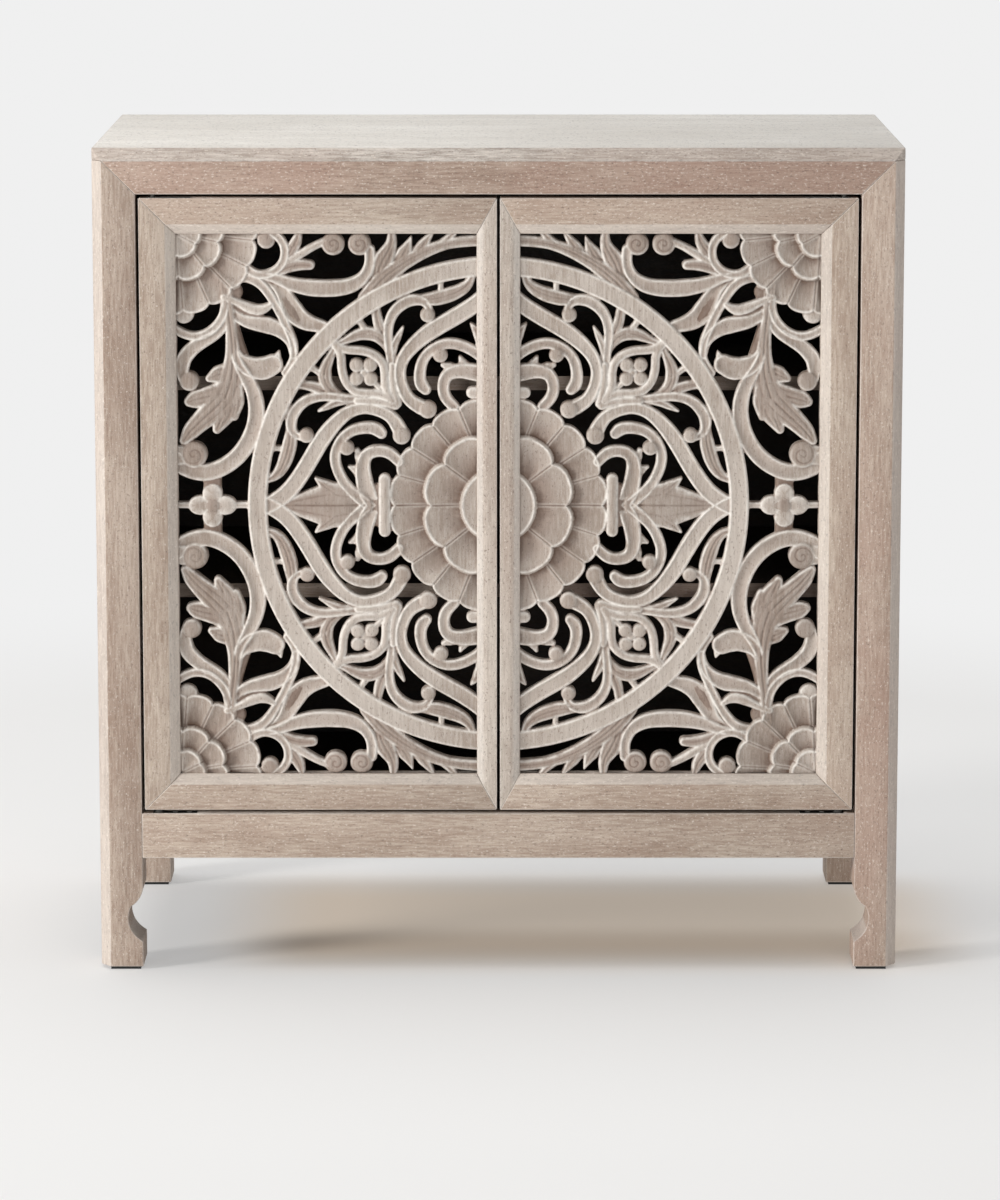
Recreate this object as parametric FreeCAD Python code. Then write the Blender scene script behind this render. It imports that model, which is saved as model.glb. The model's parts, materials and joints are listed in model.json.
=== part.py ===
"""Carved two-door cabinet of limed wood: post frame, boards, pierced doors, pivots and magnet catches.

Millimetres. The origin is the middle of the footprint on the floor, +Z is up and the doors face -Y.
Left-hand pieces are modelled and right-hand ones are their mirror images.
"""
import FreeCAD, Part
import math
import os

Vec = FreeCAD.Vector
X_AXIS = Vec(1, 0, 0)
Y_AXIS = Vec(0, 1, 0)
Z_AXIS = Vec(0, 0, 1)

# Overall size
width = 800.0
depth = 400.0
height = 828.0

# Posts, feet and glides
front_post_width = 43.0
rear_post_width = 47.0
post_depth = 50.0
corner_chamfer_width = 10.0
corner_chamfer_depth = 11.0
foot_cut_top = 84.0
foot_cusp_height = 65.0
foot_cusp_depth = 12.0
foot_belly_height = 50.0
foot_belly_depth = 14.7
foot_cut_bottom = 29.0
foot_brow_height = 72.6
foot_brow_depth = 4.0
glide_thickness = 3.0
glide_inset = 3.0
glide_stem_radius = 2.5
glide_stem_length = 14.0

# Rails
rail_thickness = 24.0
top_rail_height = 33.0
apron_bottom = 115.0
apron_height = 46.0
dowel_radius = 4.0
dowel_length = 40.0
apron_dowel_edge = 12.0

# Boards
top_thickness = 12.0
side_thickness = 18.0
side_inset = 4.0
tongue_length = 8.0
tongue_thickness = 8.0
back_thickness = 9.0
rabbet_width = 10.0
rabbet_depth = 10.0
bottom_thickness = 16.0
cleat_size = 20.0
shelf_thickness = 14.0
shelf_tops = (386.0, 596.0)
shelf_setback = 50.0
pin_radius = 3.0
pin_length = 22.0
pin_seat = 10.0
pin_spread = 200.0

# Doors
door_thickness = 22.0
door_gap_hinge = 3.0
door_gap_ends = 3.5
door_gap_middle = 3.0
stile_width = 36.0
meeting_stile_width = 20.0
bevel_width = 10.0
panel_recess = 6.0
panel_thickness = 14.0
panel_tongue = 8.0
lattice_drop = 2.0

# Pivots
pivot_from_edge = 14.0
pivot_from_face = 7.0
pivot_pin_radius = 2.5
pivot_pin_length = 12.0
pivot_collar_radius = 5.0
pivot_play = 0.05
leaf_length = 44.0
leaf_width = 10.0
leaf_thickness = 3.0
leaf_end = 6.0
leaf_screw_offsets = (16.0, 30.0)

# Magnet catches
catch_offset = 40.0
catch_width = 28.0
catch_flange = 4.0
catch_depth = 16.0
catch_drop = 33.0
catch_height = 22.0
catch_rise = 25.0
magnet_width = 20.0
magnet_height = 10.0
magnet_depth = 10.0
magnet_proud = 0.5
strike_thickness = 1.2
strike_width = 24.0
strike_height = 14.0

# Screws and fits
fit = 0.05
slack = 0.2
frame_screw_radius = 2.0
frame_screw_head = 4.0
top_screw_bite = 7.0
top_screw_spread = 214.0
small_screw_radius = 1.5
small_screw_head = 2.8
small_screw_length = 16.0
strike_screw_radius = 1.2
strike_screw_head = 2.2
strike_screw_length = 10.0
back_screw_cover = 4.0
back_screw_from_corner = 60.0
back_screw_spread = 176.0
cleat_screw_bite = 12.0

# The carving is drawn to this size, from the middle of the doors, and is scaled to the panels
drawn_half_width = 318.0
drawn_half_height = 271.5
medallion_inner = 229.5
medallion_outer = 249.0
rosette_radius = 108.0
corner_rosette_radius = 80.0
raised_margin = 2.0
sight_rim = 0.8
stroke_steps = 4
carving_grid = 1.0
outline_tolerance = 0.2
least_piercing = 6.0
tiny = 1e-9

# Places worked out from the sizes above
half_width = width / 2
front = -depth / 2
back = depth / 2
wood_bottom = glide_thickness
frame_top = height - top_thickness
opening_half = half_width - front_post_width
opening_top = frame_top - top_rail_height
opening_bottom = apron_bottom + apron_height
rear_opening_half = half_width - rear_post_width
front_post_back = front + post_depth
rear_post_front = back - post_depth
rail_back = front + rail_thickness
rear_rail_front = back - rail_thickness
side_inner = half_width - side_inset - side_thickness
back_panel_front = back - rabbet_depth
door_outer = opening_half - door_gap_hinge
door_inner = door_gap_middle / 2
door_top = opening_top - door_gap_ends
door_bottom = opening_bottom + door_gap_ends
door_back = front + door_thickness
door_middle = (door_top + door_bottom) / 2
panel_outer = door_outer - stile_width
panel_inner = door_inner + meeting_stile_width
panel_half = (door_top - door_bottom) / 2 - stile_width
panel_front = front + panel_recess
panel_back = panel_front + panel_thickness
tongue_front = (panel_front + panel_back - tongue_thickness) / 2
pivot_x = -(door_outer - pivot_from_edge)
pivot_y = front + pivot_from_face


def box(x0, x1, y0, y1, z0, z1):
    return Part.makeBox(x1 - x0, y1 - y0, z1 - z0, Vec(x0, y0, z0))


def rod(radius, length, start, direction):
    return Part.makeCylinder(radius, length, start, direction)


def mirrored(shape):
    return shape.mirror(Vec(0, 0, 0), X_AXIS)


def both_sides(shapes):
    return shapes + [mirrored(shape) for shape in shapes]


def group(shapes):
    return Part.makeCompound(shapes)


def prism_y(points, y0, y1):
    """Solid between two depths with a straight-sided outline given as (x, z) corners."""
    corners = [Vec(x, y0, z) for x, z in points]
    face = Part.Face(Part.makePolygon(corners + corners[:1]))
    return face.extrude(Vec(0, y1 - y0, 0))


def screw(radius, head, length, start, direction, grow=0.0):
    """Countersunk screw whose head lies flush at start and whose point follows direction."""
    cone = Part.makeCone(head + grow, radius + grow, head - radius, start, direction)
    shank = rod(radius + grow, length + grow, start, direction)
    return cone.fuse(shank).removeSplitter()


def screws(radius, head, length, places, direction, grow=0.0):
    return [screw(radius, head, length, Vec(*place), direction, grow) for place in places]


def save(node, shape):
    if not shape.isValid():
        raise ValueError("invalid shape: " + node)
    shape.exportStep(os.path.join("parts", node + ".step"))
    print(node, len(shape.Solids), round(shape.Volume / 1000.0, 1), "cm3")


def save_pair(pattern, left_shape):
    save(pattern.format("left"), left_shape)
    save(pattern.format("right"), mirrored(left_shape))


# Frame fasteners, which also drill the pieces they hold

def frame_dowels(grow=0.0):
    """Dowels of the left-hand rail joints."""
    half = dowel_length / 2 + grow
    radius = dowel_radius + grow
    front_y = front + rail_thickness / 2
    rear_y = (rear_rail_front + back_panel_front) / 2
    top_z = (opening_top + frame_top) / 2
    apron_levels = (apron_bottom + apron_dowel_edge, opening_bottom - apron_dowel_edge)
    mitre_x = -(opening_half + top_rail_height / 2)
    places = [(mitre_x, front_y, top_z), (-rear_opening_half, rear_y, top_z)]
    for level in apron_levels:
        places.append((-opening_half, front_y, level))
        places.append((-rear_opening_half, rear_y, level))
    return [rod(radius, 2 * half, Vec(x - half, y, z), X_AXIS) for x, y, z in places]


def top_screws(grow=0.0):
    rail_lines = (front + rail_thickness / 2, (rear_rail_front + back_panel_front) / 2)
    places = [(x, y, opening_top) for y in rail_lines for x in (-top_screw_spread, 0, top_screw_spread)]
    length = top_rail_height + top_screw_bite
    return screws(frame_screw_radius, frame_screw_head, length, places, Z_AXIS, grow)


def back_screws(grow=0.0):
    face = back_panel_front + back_thickness
    edge = rear_opening_half + rabbet_width / 2
    low = opening_bottom - rabbet_width / 2
    high = opening_top + rabbet_width / 2
    levels = (low + back_screw_from_corner, (low + high) / 2, high - back_screw_from_corner)
    places = [(x, face, z) for x in (-edge, edge) for z in levels]
    places += [(x, face, z) for x in (-back_screw_spread, back_screw_spread) for z in (low, high)]
    length = face - rear_rail_front - back_screw_cover
    return screws(small_screw_radius, small_screw_head, length, places, -Y_AXIS, grow)


def cleat_screws(grow=0.0):
    """Screws of the left-hand cleat."""
    z = opening_bottom - bottom_thickness - cleat_size / 2
    reach = rear_post_front - cleat_size
    places = [(-side_inner + cleat_size, y, z) for y in (-reach, 0, reach)]
    length = cleat_size + cleat_screw_bite
    return screws(frame_screw_radius, frame_screw_head, length, places, -X_AXIS, grow)


def shelf_pins(grow=0.0):
    """Pins that carry the left-hand ends of the shelves."""
    pins = []
    for top in shelf_tops:
        for y in (-pin_spread / 2, pin_spread / 2):
            start = Vec(-side_inner - pin_seat - grow, y, top - shelf_thickness - pin_radius)
            pins.append(rod(pin_radius + grow, pin_length + grow, start, X_AXIS))
    return pins


# Pivots of the left-hand door, fixed plates first

def leaf_block(z0, grow=0.0):
    return box(pivot_x - leaf_end - grow, pivot_x - leaf_end + leaf_length + grow,
               pivot_y - leaf_width / 2 - grow, pivot_y + leaf_width / 2 + grow, z0, z0 + leaf_thickness)


def leaf_screws(face, direction, grow=0.0):
    places = [(pivot_x + offset, pivot_y, face) for offset in leaf_screw_offsets]
    return screws(small_screw_radius, small_screw_head, small_screw_length, places, direction, grow)


def plate_screws(grow=0.0):
    return leaf_screws(opening_top, Z_AXIS, grow) + leaf_screws(opening_bottom, -Z_AXIS, grow)


def door_leaf_screws(grow=0.0):
    return leaf_screws(door_top, -Z_AXIS, grow) + leaf_screws(door_bottom, Z_AXIS, grow)


def pivot_pin(z, direction, grow=0.0):
    return rod(pivot_pin_radius + grow, pivot_pin_length + grow, Vec(pivot_x, pivot_y, z), direction)


def upper_pivot_plate():
    plate = leaf_block(opening_top).fuse(pivot_pin(opening_top, -Z_AXIS))
    return plate.cut(group(plate_screws(fit))).removeSplitter()


def lower_pivot_plate():
    seat = Vec(pivot_x, pivot_y, opening_bottom)
    collar = rod(pivot_collar_radius, door_gap_ends - pivot_play, seat, Z_AXIS)
    plate = leaf_block(opening_bottom - leaf_thickness).fuse([collar, pivot_pin(opening_bottom, Z_AXIS)])
    return plate.cut(group(plate_screws(fit))).removeSplitter()


def door_leaf(z0):
    leaf = leaf_block(z0)
    return leaf.cut(group(door_leaf_screws(fit) + pin_bores(pivot_play)))


def pin_bores(grow):
    return [pivot_pin(opening_top, -Z_AXIS, grow), pivot_pin(opening_bottom, Z_AXIS, grow)]


# Magnet catch of the left-hand door

def catch_x(half):
    return (-catch_offset - half, -catch_offset + half)


def catch_middle():
    return opening_top - catch_drop + catch_height / 2


def catch_screws(grow=0.0):
    z = opening_top + catch_rise / 2
    places = [(-catch_offset + side * catch_width / 4, rail_back + catch_flange, z) for side in (-1, 1)]
    return screws(small_screw_radius, small_screw_head, small_screw_length, places, -Y_AXIS, grow)


def catch_magnet(grow=0.0):
    x0, x1 = catch_x(magnet_width / 2 + grow)
    z = catch_middle()
    y0 = rail_back - magnet_proud
    half = magnet_height / 2 + grow
    return box(x0, x1, y0, y0 + magnet_depth + grow, z - half, z + half)


def magnet_catch():
    x0, x1 = catch_x(catch_width / 2)
    foot = opening_top - catch_drop
    flange = box(x0, x1, rail_back, rail_back + catch_flange, foot, opening_top + catch_rise)
    block = box(x0, x1, rail_back, rail_back + catch_depth, foot, foot + catch_height)
    body = flange.fuse(block).cut(group([catch_magnet(fit)] + catch_screws(fit)))
    return body.removeSplitter()


def strike_screws(grow=0.0):
    face = door_back + strike_thickness
    spread = strike_width / 2 - strike_screw_head - strike_thickness
    places = [(-catch_offset + side * spread, face, catch_middle()) for side in (-1, 1)]
    return screws(strike_screw_radius, strike_screw_head, strike_screw_length, places, -Y_AXIS, grow)


def strike_plate():
    x0, x1 = catch_x(strike_width / 2)
    z = catch_middle()
    plate = box(x0, x1, door_back, door_back + strike_thickness, z - strike_height / 2, z + strike_height / 2)
    return plate.cut(group(strike_screws(fit)))


# Carcass pieces

def foot_cut(inner, y0, y1):
    """Cutter for the scrolled notch in a post's inner side, where inner is that face's x."""
    points = {
        "top": Vec(inner, y0, foot_cut_top),
        "brow": Vec(inner - foot_brow_depth, y0, foot_brow_height),
        "cusp": Vec(inner - foot_cusp_depth, y0, foot_cusp_height),
        "belly": Vec(inner - foot_belly_depth, y0, foot_belly_height),
        "bottom": Vec(inner, y0, foot_cut_bottom),
    }
    edges = [
        Part.Arc(points["top"], points["brow"], points["cusp"]).toShape(),
        Part.Arc(points["cusp"], points["belly"], points["bottom"]).toShape(),
        Part.makeLine(points["bottom"], points["top"]),
    ]
    return Part.Face(Part.Wire(edges)).extrude(Vec(0, y1 - y0, 0))


def corner_chamfer(z0, z1):
    """Cutter for the slanted front corner that runs up the left post and the top."""
    corners = [Vec(-half_width, front, z0), Vec(-half_width + corner_chamfer_width, front, z0),
               Vec(-half_width, front + corner_chamfer_depth, z0)]
    return Part.Face(Part.makePolygon(corners + corners[:1])).extrude(Vec(0, 0, z1 - z0))


def glide(x0, x1, y0, y1, grow=0.0):
    pad = box(x0 + glide_inset, x1 - glide_inset, y0 + glide_inset, y1 - glide_inset, 0, glide_thickness)
    stem_length = glide_stem_length + grow
    stem = rod(glide_stem_radius + grow, stem_length, Vec((x0 + x1) / 2, (y0 + y1) / 2, wood_bottom), Z_AXIS)
    return pad.fuse(stem).removeSplitter()


def glides(grow=0.0):
    """Glides of the two left-hand feet."""
    front_left = -half_width + corner_chamfer_width - glide_inset
    return [glide(front_left, -opening_half, front, front_post_back, grow),
            glide(-half_width, -rear_opening_half, rear_post_front, back, grow)]


def side_panel():
    """Left side board with a tongue along both upright edges."""
    outer = -side_inner - side_thickness
    board = box(outer, -side_inner, front_post_back, rear_post_front, apron_bottom, frame_top)
    middle = -side_inner - side_thickness / 2
    half = tongue_thickness / 2
    tongue = box(middle - half, middle + half,
                 front_post_back - tongue_length, rear_post_front + tongue_length,
                 apron_bottom, frame_top)
    holes = shelf_pins(fit) + cleat_screws(fit)
    return board.fuse(tongue).cut(group(holes)).removeSplitter()


def tongue_groove():
    middle = -side_inner - side_thickness / 2
    half = tongue_thickness / 2 + fit
    return box(middle - half, middle + half, front_post_back - tongue_length - slack,
               rear_post_front + tongue_length + slack, apron_bottom, frame_top)


def top_rail_blank():
    points = [(-opening_half - top_rail_height, frame_top), (opening_half + top_rail_height, frame_top),
              (opening_half, opening_top), (-opening_half, opening_top)]
    return prism_y(points, front, rail_back)


def front_post():
    post = box(-half_width, -opening_half, front, front_post_back, wood_bottom, frame_top)
    cuts = [corner_chamfer(wood_bottom, frame_top), foot_cut(-opening_half, front, front_post_back),
            tongue_groove(), top_rail_blank()]
    return post.cut(group(cuts + frame_dowels(fit) + glides(fit))).removeSplitter()


def rabbet():
    return box(-rear_opening_half - rabbet_width, rear_opening_half + rabbet_width, back_panel_front, back,
               opening_bottom - rabbet_width, opening_top + rabbet_width)


def rear_post():
    post = box(-half_width, -rear_opening_half, rear_post_front, back, wood_bottom, frame_top)
    cuts = [foot_cut(-rear_opening_half, rear_post_front, back), tongue_groove(), rabbet()]
    return post.cut(group(cuts + frame_dowels(fit) + glides(fit) + back_screws(fit))).removeSplitter()


def front_top_rail():
    dowel_holes = both_sides(frame_dowels(fit))
    leaf_seat = leaf_block(opening_top)
    holes = both_sides([leaf_seat] + plate_screws(fit) + catch_screws(fit))
    return top_rail_blank().cut(group(dowel_holes + holes + top_screws(fit))).removeSplitter()


def front_apron_rail():
    rail = box(-opening_half, opening_half, front, rail_back, apron_bottom, opening_bottom)
    leaf_seat = leaf_block(opening_bottom - leaf_thickness)
    holes = both_sides(frame_dowels(fit) + [leaf_seat] + plate_screws(fit))
    return rail.cut(group(holes)).removeSplitter()


def rear_rail(z0, z1):
    rail = box(-rear_opening_half, rear_opening_half, rear_rail_front, back, z0, z1)
    holes = both_sides(frame_dowels(fit)) + top_screws(fit) + back_screws(fit)
    return rail.cut(group([rabbet()] + holes)).removeSplitter()


def top_panel():
    """Top board whose front edge slopes back over its whole thickness."""
    board = box(-half_width, half_width, front, back, frame_top, height)
    slope = [Vec(-half_width, front, frame_top), Vec(-half_width, front, height),
             Vec(-half_width, front + corner_chamfer_depth, height)]
    wedge = Part.Face(Part.makePolygon(slope + slope[:1])).extrude(Vec(width, 0, 0))
    corners = both_sides([corner_chamfer(frame_top, height)])
    return board.cut(group([wedge])).cut(group(corners + top_screws(fit))).removeSplitter()


def bottom_panel():
    z0 = opening_bottom - bottom_thickness
    middle = box(-side_inner, side_inner, front_post_back, rear_post_front, z0, opening_bottom)
    front_strip = box(-opening_half, opening_half, rail_back, front_post_back, z0, opening_bottom)
    rear_strip = box(-rear_opening_half, rear_opening_half, rear_post_front, rear_rail_front, z0,
                     opening_bottom)
    return middle.fuse([front_strip, rear_strip]).removeSplitter()


def back_panel():
    panel = box(-rear_opening_half - rabbet_width + slack, rear_opening_half + rabbet_width - slack,
                back_panel_front, back_panel_front + back_thickness,
                opening_bottom - rabbet_width + slack, opening_top + rabbet_width - slack)
    return panel.cut(group(back_screws(fit))).removeSplitter()


def bottom_cleat():
    z1 = opening_bottom - bottom_thickness
    cleat = box(-side_inner, -side_inner + cleat_size, front_post_back, rear_post_front, z1 - cleat_size, z1)
    return cleat.cut(group(cleat_screws(fit)))


def shelf(top):
    z0 = top - shelf_thickness
    reach = side_inner - slack
    middle = box(-reach, reach, front + shelf_setback, rear_post_front - slack, z0, top)
    rear = box(-rear_opening_half + slack, rear_opening_half - slack, rear_post_front - slack,
               back_panel_front - slack, z0, top)
    return middle.fuse(rear).removeSplitter()


# Door frame of the left-hand door

def door_opening():
    """Cutter for the space inside the door frame: bevel, sight size and tongue groove."""
    x0, x1 = -panel_outer, -panel_inner
    z0, z1 = door_middle - panel_half, door_middle + panel_half
    sight = box(x0, x1, front, door_back, z0, z1)
    rims = []
    for y, grow in ((front, bevel_width), (panel_front, 0.0)):
        corners = [Vec(x0 - grow, y, z0 - grow), Vec(x1 + grow, y, z0 - grow), Vec(x1 + grow, y, z1 + grow),
                   Vec(x0 - grow, y, z1 + grow)]
        rims.append(Part.makePolygon(corners + corners[:1]))
    bevel = Part.makeLoft(rims, True, True)
    reach = panel_tongue + slack
    groove = box(x0 - reach, x1 + reach, tongue_front - fit, tongue_front + tongue_thickness + fit,
                 z0 - reach, z1 + reach)
    return sight.fuse([bevel, groove])


def door_frame():
    """The four mitred members by name."""
    outer = [(-door_outer, door_bottom), (-door_inner, door_bottom), (-door_inner, door_top),
             (-door_outer, door_top)]
    z0, z1 = door_middle - panel_half, door_middle + panel_half
    inner = [(-panel_outer, z0), (-panel_inner, z0), (-panel_inner, z1), (-panel_outer, z1)]
    cutter = door_opening()
    seats = [leaf_block(door_top - leaf_thickness), leaf_block(door_bottom)]
    holes = group(seats + door_leaf_screws(fit) + pin_bores(fit + pivot_play) + strike_screws(fit))
    members = {}
    for number, name in enumerate(("bottom_rail", "meeting_stile", "top_rail", "hinge_stile")):
        following = (number + 1) % 4
        outline = [outer[number], outer[following], inner[following], inner[number]]
        blank = prism_y(outline, front, door_back)
        members[name] = blank.cut(cutter).cut(holes).removeSplitter()
    return members


# Carving, drawn flat as (u, v): u runs outwards from the middle of the doors and v up from their mid-height.
# A stroke is its centre line and the width at each of those points.

MEDALLION_STROKES = [
    # Pointed band round each lobe, and its rolled end
    ([(235, -3), (213, 10), (197, 29), (186, 47), (174, 67), (161, 83), (147, 94), (133, 97.5), (119, 95),
      (106, 88), (98, 76)], [17, 17, 17, 17, 17, 15, 13, 12, 12, 13, 15]),
    # Frame round the small flower on the diagonal, and the flower's stem
    ([(165, 165), (152, 156.5), (138, 155), (124, 151), (115, 142.5), (112.5, 130), (112, 119), (105, 105)],
     [9] * 8),
    ([(133, 133), (120, 120), (106, 106)], [9, 6, 6]),
    ([(105, 140), (104.5, 122), (100, 102)], [8, 9, 9]),
    # Tendril between the band and the ring, with its leaves
    ([(106, 136), (108, 157), (109, 175), (104.5, 191), (95, 201), (83, 205.5), (73, 203), (68, 196)],
     [8, 9, 10, 11, 12, 12, 9, 7]),
    ([(80, 206), (62, 207), (47, 211), (34, 217.5), (27, 226), (25, 235)], [9, 15, 15, 12, 8, 6]),
    ([(57, 210), (57, 228)], [6, 6]),
    ([(105, 140), (104, 157), (99, 169), (94.5, 178)], [6, 9, 7, 3]),
    ([(110, 157), (117, 167), (130, 172), (143, 169), (154, 164), (164, 161)], [8, 12, 14, 11, 7, 5]),
    ([(128, 171), (134, 179), (140, 189)], [9, 7, 6]),
    ([(110, 164), (117, 178), (120.5, 192), (121, 202)], [8, 12, 10, 7]),
    # Outer and inner scrolls of the lily in each lobe
    ([(126, -3), (140, 9), (151, 20), (159, 34), (162, 49), (157.5, 63), (148, 73), (134, 77.5), (120, 75.5),
      (116, 72)], [12, 12, 11, 11, 11, 11, 11, 12, 13, 11]),
    ([(121, -3), (129, 12), (133, 26), (133.5, 38), (129.5, 49), (119, 54.5), (108, 51.5), (99, 43)],
     [10, 12, 12, 12, 11, 10, 10, 9]),
    ([(133, 38), (137.5, 47), (139, 53)], [8, 7, 4]),
    ([(133, 35), (141, 37.5), (147, 39)], [8, 5, 2]),
    ([(113, -26), (113, 26)], [12, 12]),
    ([(120, -18), (120, 18)], [8, 8]),
    ([(107, -23), (107, 23)], [6, 6]),
    # Leaf that points to the tip of the lobe
    ([(138, 0), (165, 0), (190, 0), (204, 0), (213, 0)], [26, 46, 28, 15, 4]),
    ([(152, 6), (169, 17), (181.5, 27)], [16, 15, 3]),
]
MEDALLION_BALLS = [(96, 70, 9), (70, 190.5, 7.5), (150.5, 57.5, 7.5), (126.5, 126.5, 7.2),
                   (140.5, 140.5, 7.2), (127, 140.5, 7.2)]

CORNER_STROKES = [
    # Small scroll under the top edge, and the scroll that runs along it
    ([(251, 239), (238, 231), (224, 232.5), (214, 241), (210.5, 252), (213, 263), (223, 273)], [9] * 7),
    ([(240, 230), (222, 227.5), (205, 221.5), (185, 217.5), (162, 217), (144, 220.5), (132.5, 229),
      (127, 241), (127, 255)], [7, 10, 14, 17, 17, 15, 12, 11, 11]),
    ([(226, 231), (212, 236), (198, 240), (186, 240)], [7, 11, 12, 10]),
    ([(212, 240), (207, 251), (200, 262), (196.5, 274)], [8, 14, 12, 6]),
    ([(208, 243), (195, 251), (181, 259), (166, 265)], [8, 9, 8, 8]),
    # Long leaf over the ring with its three teeth
    ([(134, 213), (115, 225), (96, 240), (75, 252), (50, 261), (18, 264.5)], [16, 18, 15, 13, 11, 12]),
    ([(121, 226), (113, 246), (106, 260), (105.5, 275)], [10, 20, 12, 7]),
    ([(102, 240), (93, 252), (86, 268)], [12, 15, 2]),
    ([(84, 248), (75, 259), (65, 273)], [12, 12, 4]),
    ([(62, 257), (52, 264), (42, 275)], [10, 9, 7]),
    # Scrolls down the outer side
    ([(270, 208), (271.5, 192), (279.5, 179), (291, 171), (304, 169.5), (321, 177)], [9] * 6),
    ([(265, 194), (275, 175), (291, 164.5), (305, 154.5), (313, 141), (312, 128)], [8, 10, 13, 15, 16, 12]),
    # Stem and large leaf
    ([(268, 222), (267, 200), (264, 175), (262.5, 150), (264, 128), (270, 108)], [14, 12, 12, 16, 24, 30]),
    ([(266, 135), (277, 131), (286, 127)], [16, 17, 8]),
    ([(268, 118), (285, 110), (300, 106), (306, 104)], [20, 20, 18, 11]),
    ([(266, 112), (277, 97), (292, 84), (305, 73), (312, 65)], [26, 30, 26, 20, 9]),
    ([(268, 104), (275, 90), (280.5, 75)], [24, 24, 4]),
    ([(261, 118), (262, 102), (264, 90)], [16, 16, 9]),
    # Great scroll beside the ring and its coiled end at the frame
    ([(263, 162), (257, 142), (247, 124), (240.5, 105), (240, 88), (245.5, 69), (257, 51), (273, 38.5),
      (291, 33), (308, 37), (322, 46)], [8, 11, 14, 16, 17, 17, 17, 17, 17, 18, 20]),
    ([(302, 51), (322, 50)], [20, 20]),
    # Ribbons between the corner and the ring
    ([(254, 227), (240, 224.5), (229.5, 215.5), (221, 202), (214, 189), (207.5, 175), (202.5, 160),
      (203, 147), (211, 133)], [8, 10, 10, 9, 9, 9, 9, 8, 8]),
    ([(230, 226), (214, 217), (203.5, 204), (195, 192), (184, 184), (168, 179)], [8, 12, 13, 13, 13, 11]),
    ([(271, 208), (258, 203), (246, 197.5), (235, 195.5), (224, 201)], [8, 8, 11, 11, 6]),
    ([(267, 197), (256, 187.5), (243, 182.5), (228, 180), (214, 173.5), (205.5, 163), (202.5, 150)],
     [8, 11, 14, 17, 14, 10, 8]),
    ([(262, 162), (256, 146), (246, 139), (233, 137), (223, 141)], [8, 14, 20, 23, 20]),
    ([(223, 142), (219, 150), (217, 154)], [10, 7, 2]),
    # Ground between the ribbons
    ([(224, 219), (214, 207), (206, 194), (199, 184)], [14, 14, 14, 11]),
    ([(264, 199), (250, 192), (236, 189)], [9, 9, 8]),
    ([(255, 237), (244, 229)], [8, 8]),
    ([(261, 182), (257, 165), (252, 150)], [8, 9, 9]),
    ([(312, 197), (311, 190)], [18, 20]),
    # Bars that tie the side flower to the frame, the ring and the great scroll
    ([(292, 0), (322, 0)], [7, 7]),
    ([(244, 0), (272, 0)], [7, 7]),
    ([(284, 8), (284, 28)], [18, 18]),
]
CORNER_BALLS = [(126, 227, 5), (262, 214, 8.5), (229, 265, 9), (137, 261, 11.5), (163, 261, 11.5),
                (306, 124.5, 10), (302, 51, 13.5), (284, 0, 9), (284, 11, 9), (298, 0, 10), (270, 0, 10)]


def stroke_segments(points, widths):
    """Short straight lengths of a stroke's smooth centre line, each with its half width at both ends."""
    line = Part.BSplineCurve()
    line.interpolate([Vec(u, v, 0) for u, v in points])
    knots = [line.parameter(Vec(u, v, 0)) for u, v in points]
    trail = []
    for number in range(len(points) - 1):
        for step in range(stroke_steps):
            share = step / stroke_steps
            spot = line.value(knots[number] + share * (knots[number + 1] - knots[number]))
            breadth = widths[number] + share * (widths[number + 1] - widths[number])
            trail.append((spot.x, spot.y, breadth / 2))
    trail.append((points[-1][0], points[-1][1], widths[-1] / 2))
    return list(zip(trail[:-1], trail[1:]))


def carving_segments():
    """Every stroke and ball of the upper half of the left panel as tapered straight lengths."""
    wedge = []
    for points, widths in MEDALLION_STROKES:
        wedge += stroke_segments(points, widths)
    wedge += [(ball, ball) for ball in MEDALLION_BALLS]
    swapped = [((a[1], a[0], a[2]), (b[1], b[0], b[2])) for a, b in wedge]
    corner = []
    for points, widths in CORNER_STROKES:
        corner += stroke_segments(points, widths)
    corner += [(ball, ball) for ball in CORNER_BALLS]
    rosettes = [(0.0, 0.0, rosette_radius), (drawn_half_width, drawn_half_height, corner_rosette_radius)]
    return wedge + swapped + corner + [(rosette, rosette) for rosette in rosettes]


def wood_depth_grid(columns, rows, start_u):
    """How far each point of a grid lies inside the wood: below nought where the panel is pierced."""
    grid = []
    for row in range(rows + 1):
        v = row * carving_grid
        line = []
        for column in range(columns + 1):
            u = start_u + column * carving_grid
            to_rim = min(u - start_u, drawn_half_width - u, drawn_half_height - v)
            radius = math.hypot(u, v)
            line.append(max(sight_rim - to_rim, min(radius - medallion_inner, medallion_outer - radius)))
        grid.append(line)
    for (u0, v0, r0), (u1, v1, r1) in carving_segments():
        reach = max(r0, r1) + carving_grid
        first_row = max(0, int((min(v0, v1) - reach) / carving_grid))
        last_row = min(rows, int((max(v0, v1) + reach) / carving_grid) + 1)
        first_column = max(0, int((min(u0, u1) - reach - start_u) / carving_grid))
        last_column = min(columns, int((max(u0, u1) + reach - start_u) / carving_grid) + 1)
        du, dv = u1 - u0, v1 - v0
        length = max(du * du + dv * dv, tiny)
        for row in range(first_row, last_row + 1):
            v = row * carving_grid
            line = grid[row]
            for column in range(first_column, last_column + 1):
                u = start_u + column * carving_grid
                share = min(1.0, max(0.0, ((u - u0) * du + (v - v0) * dv) / length))
                away = math.hypot(u - u0 - share * du, v - v0 - share * dv)
                line[column] = max(line[column], r0 + share * (r1 - r0) - away)
    return grid


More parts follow.
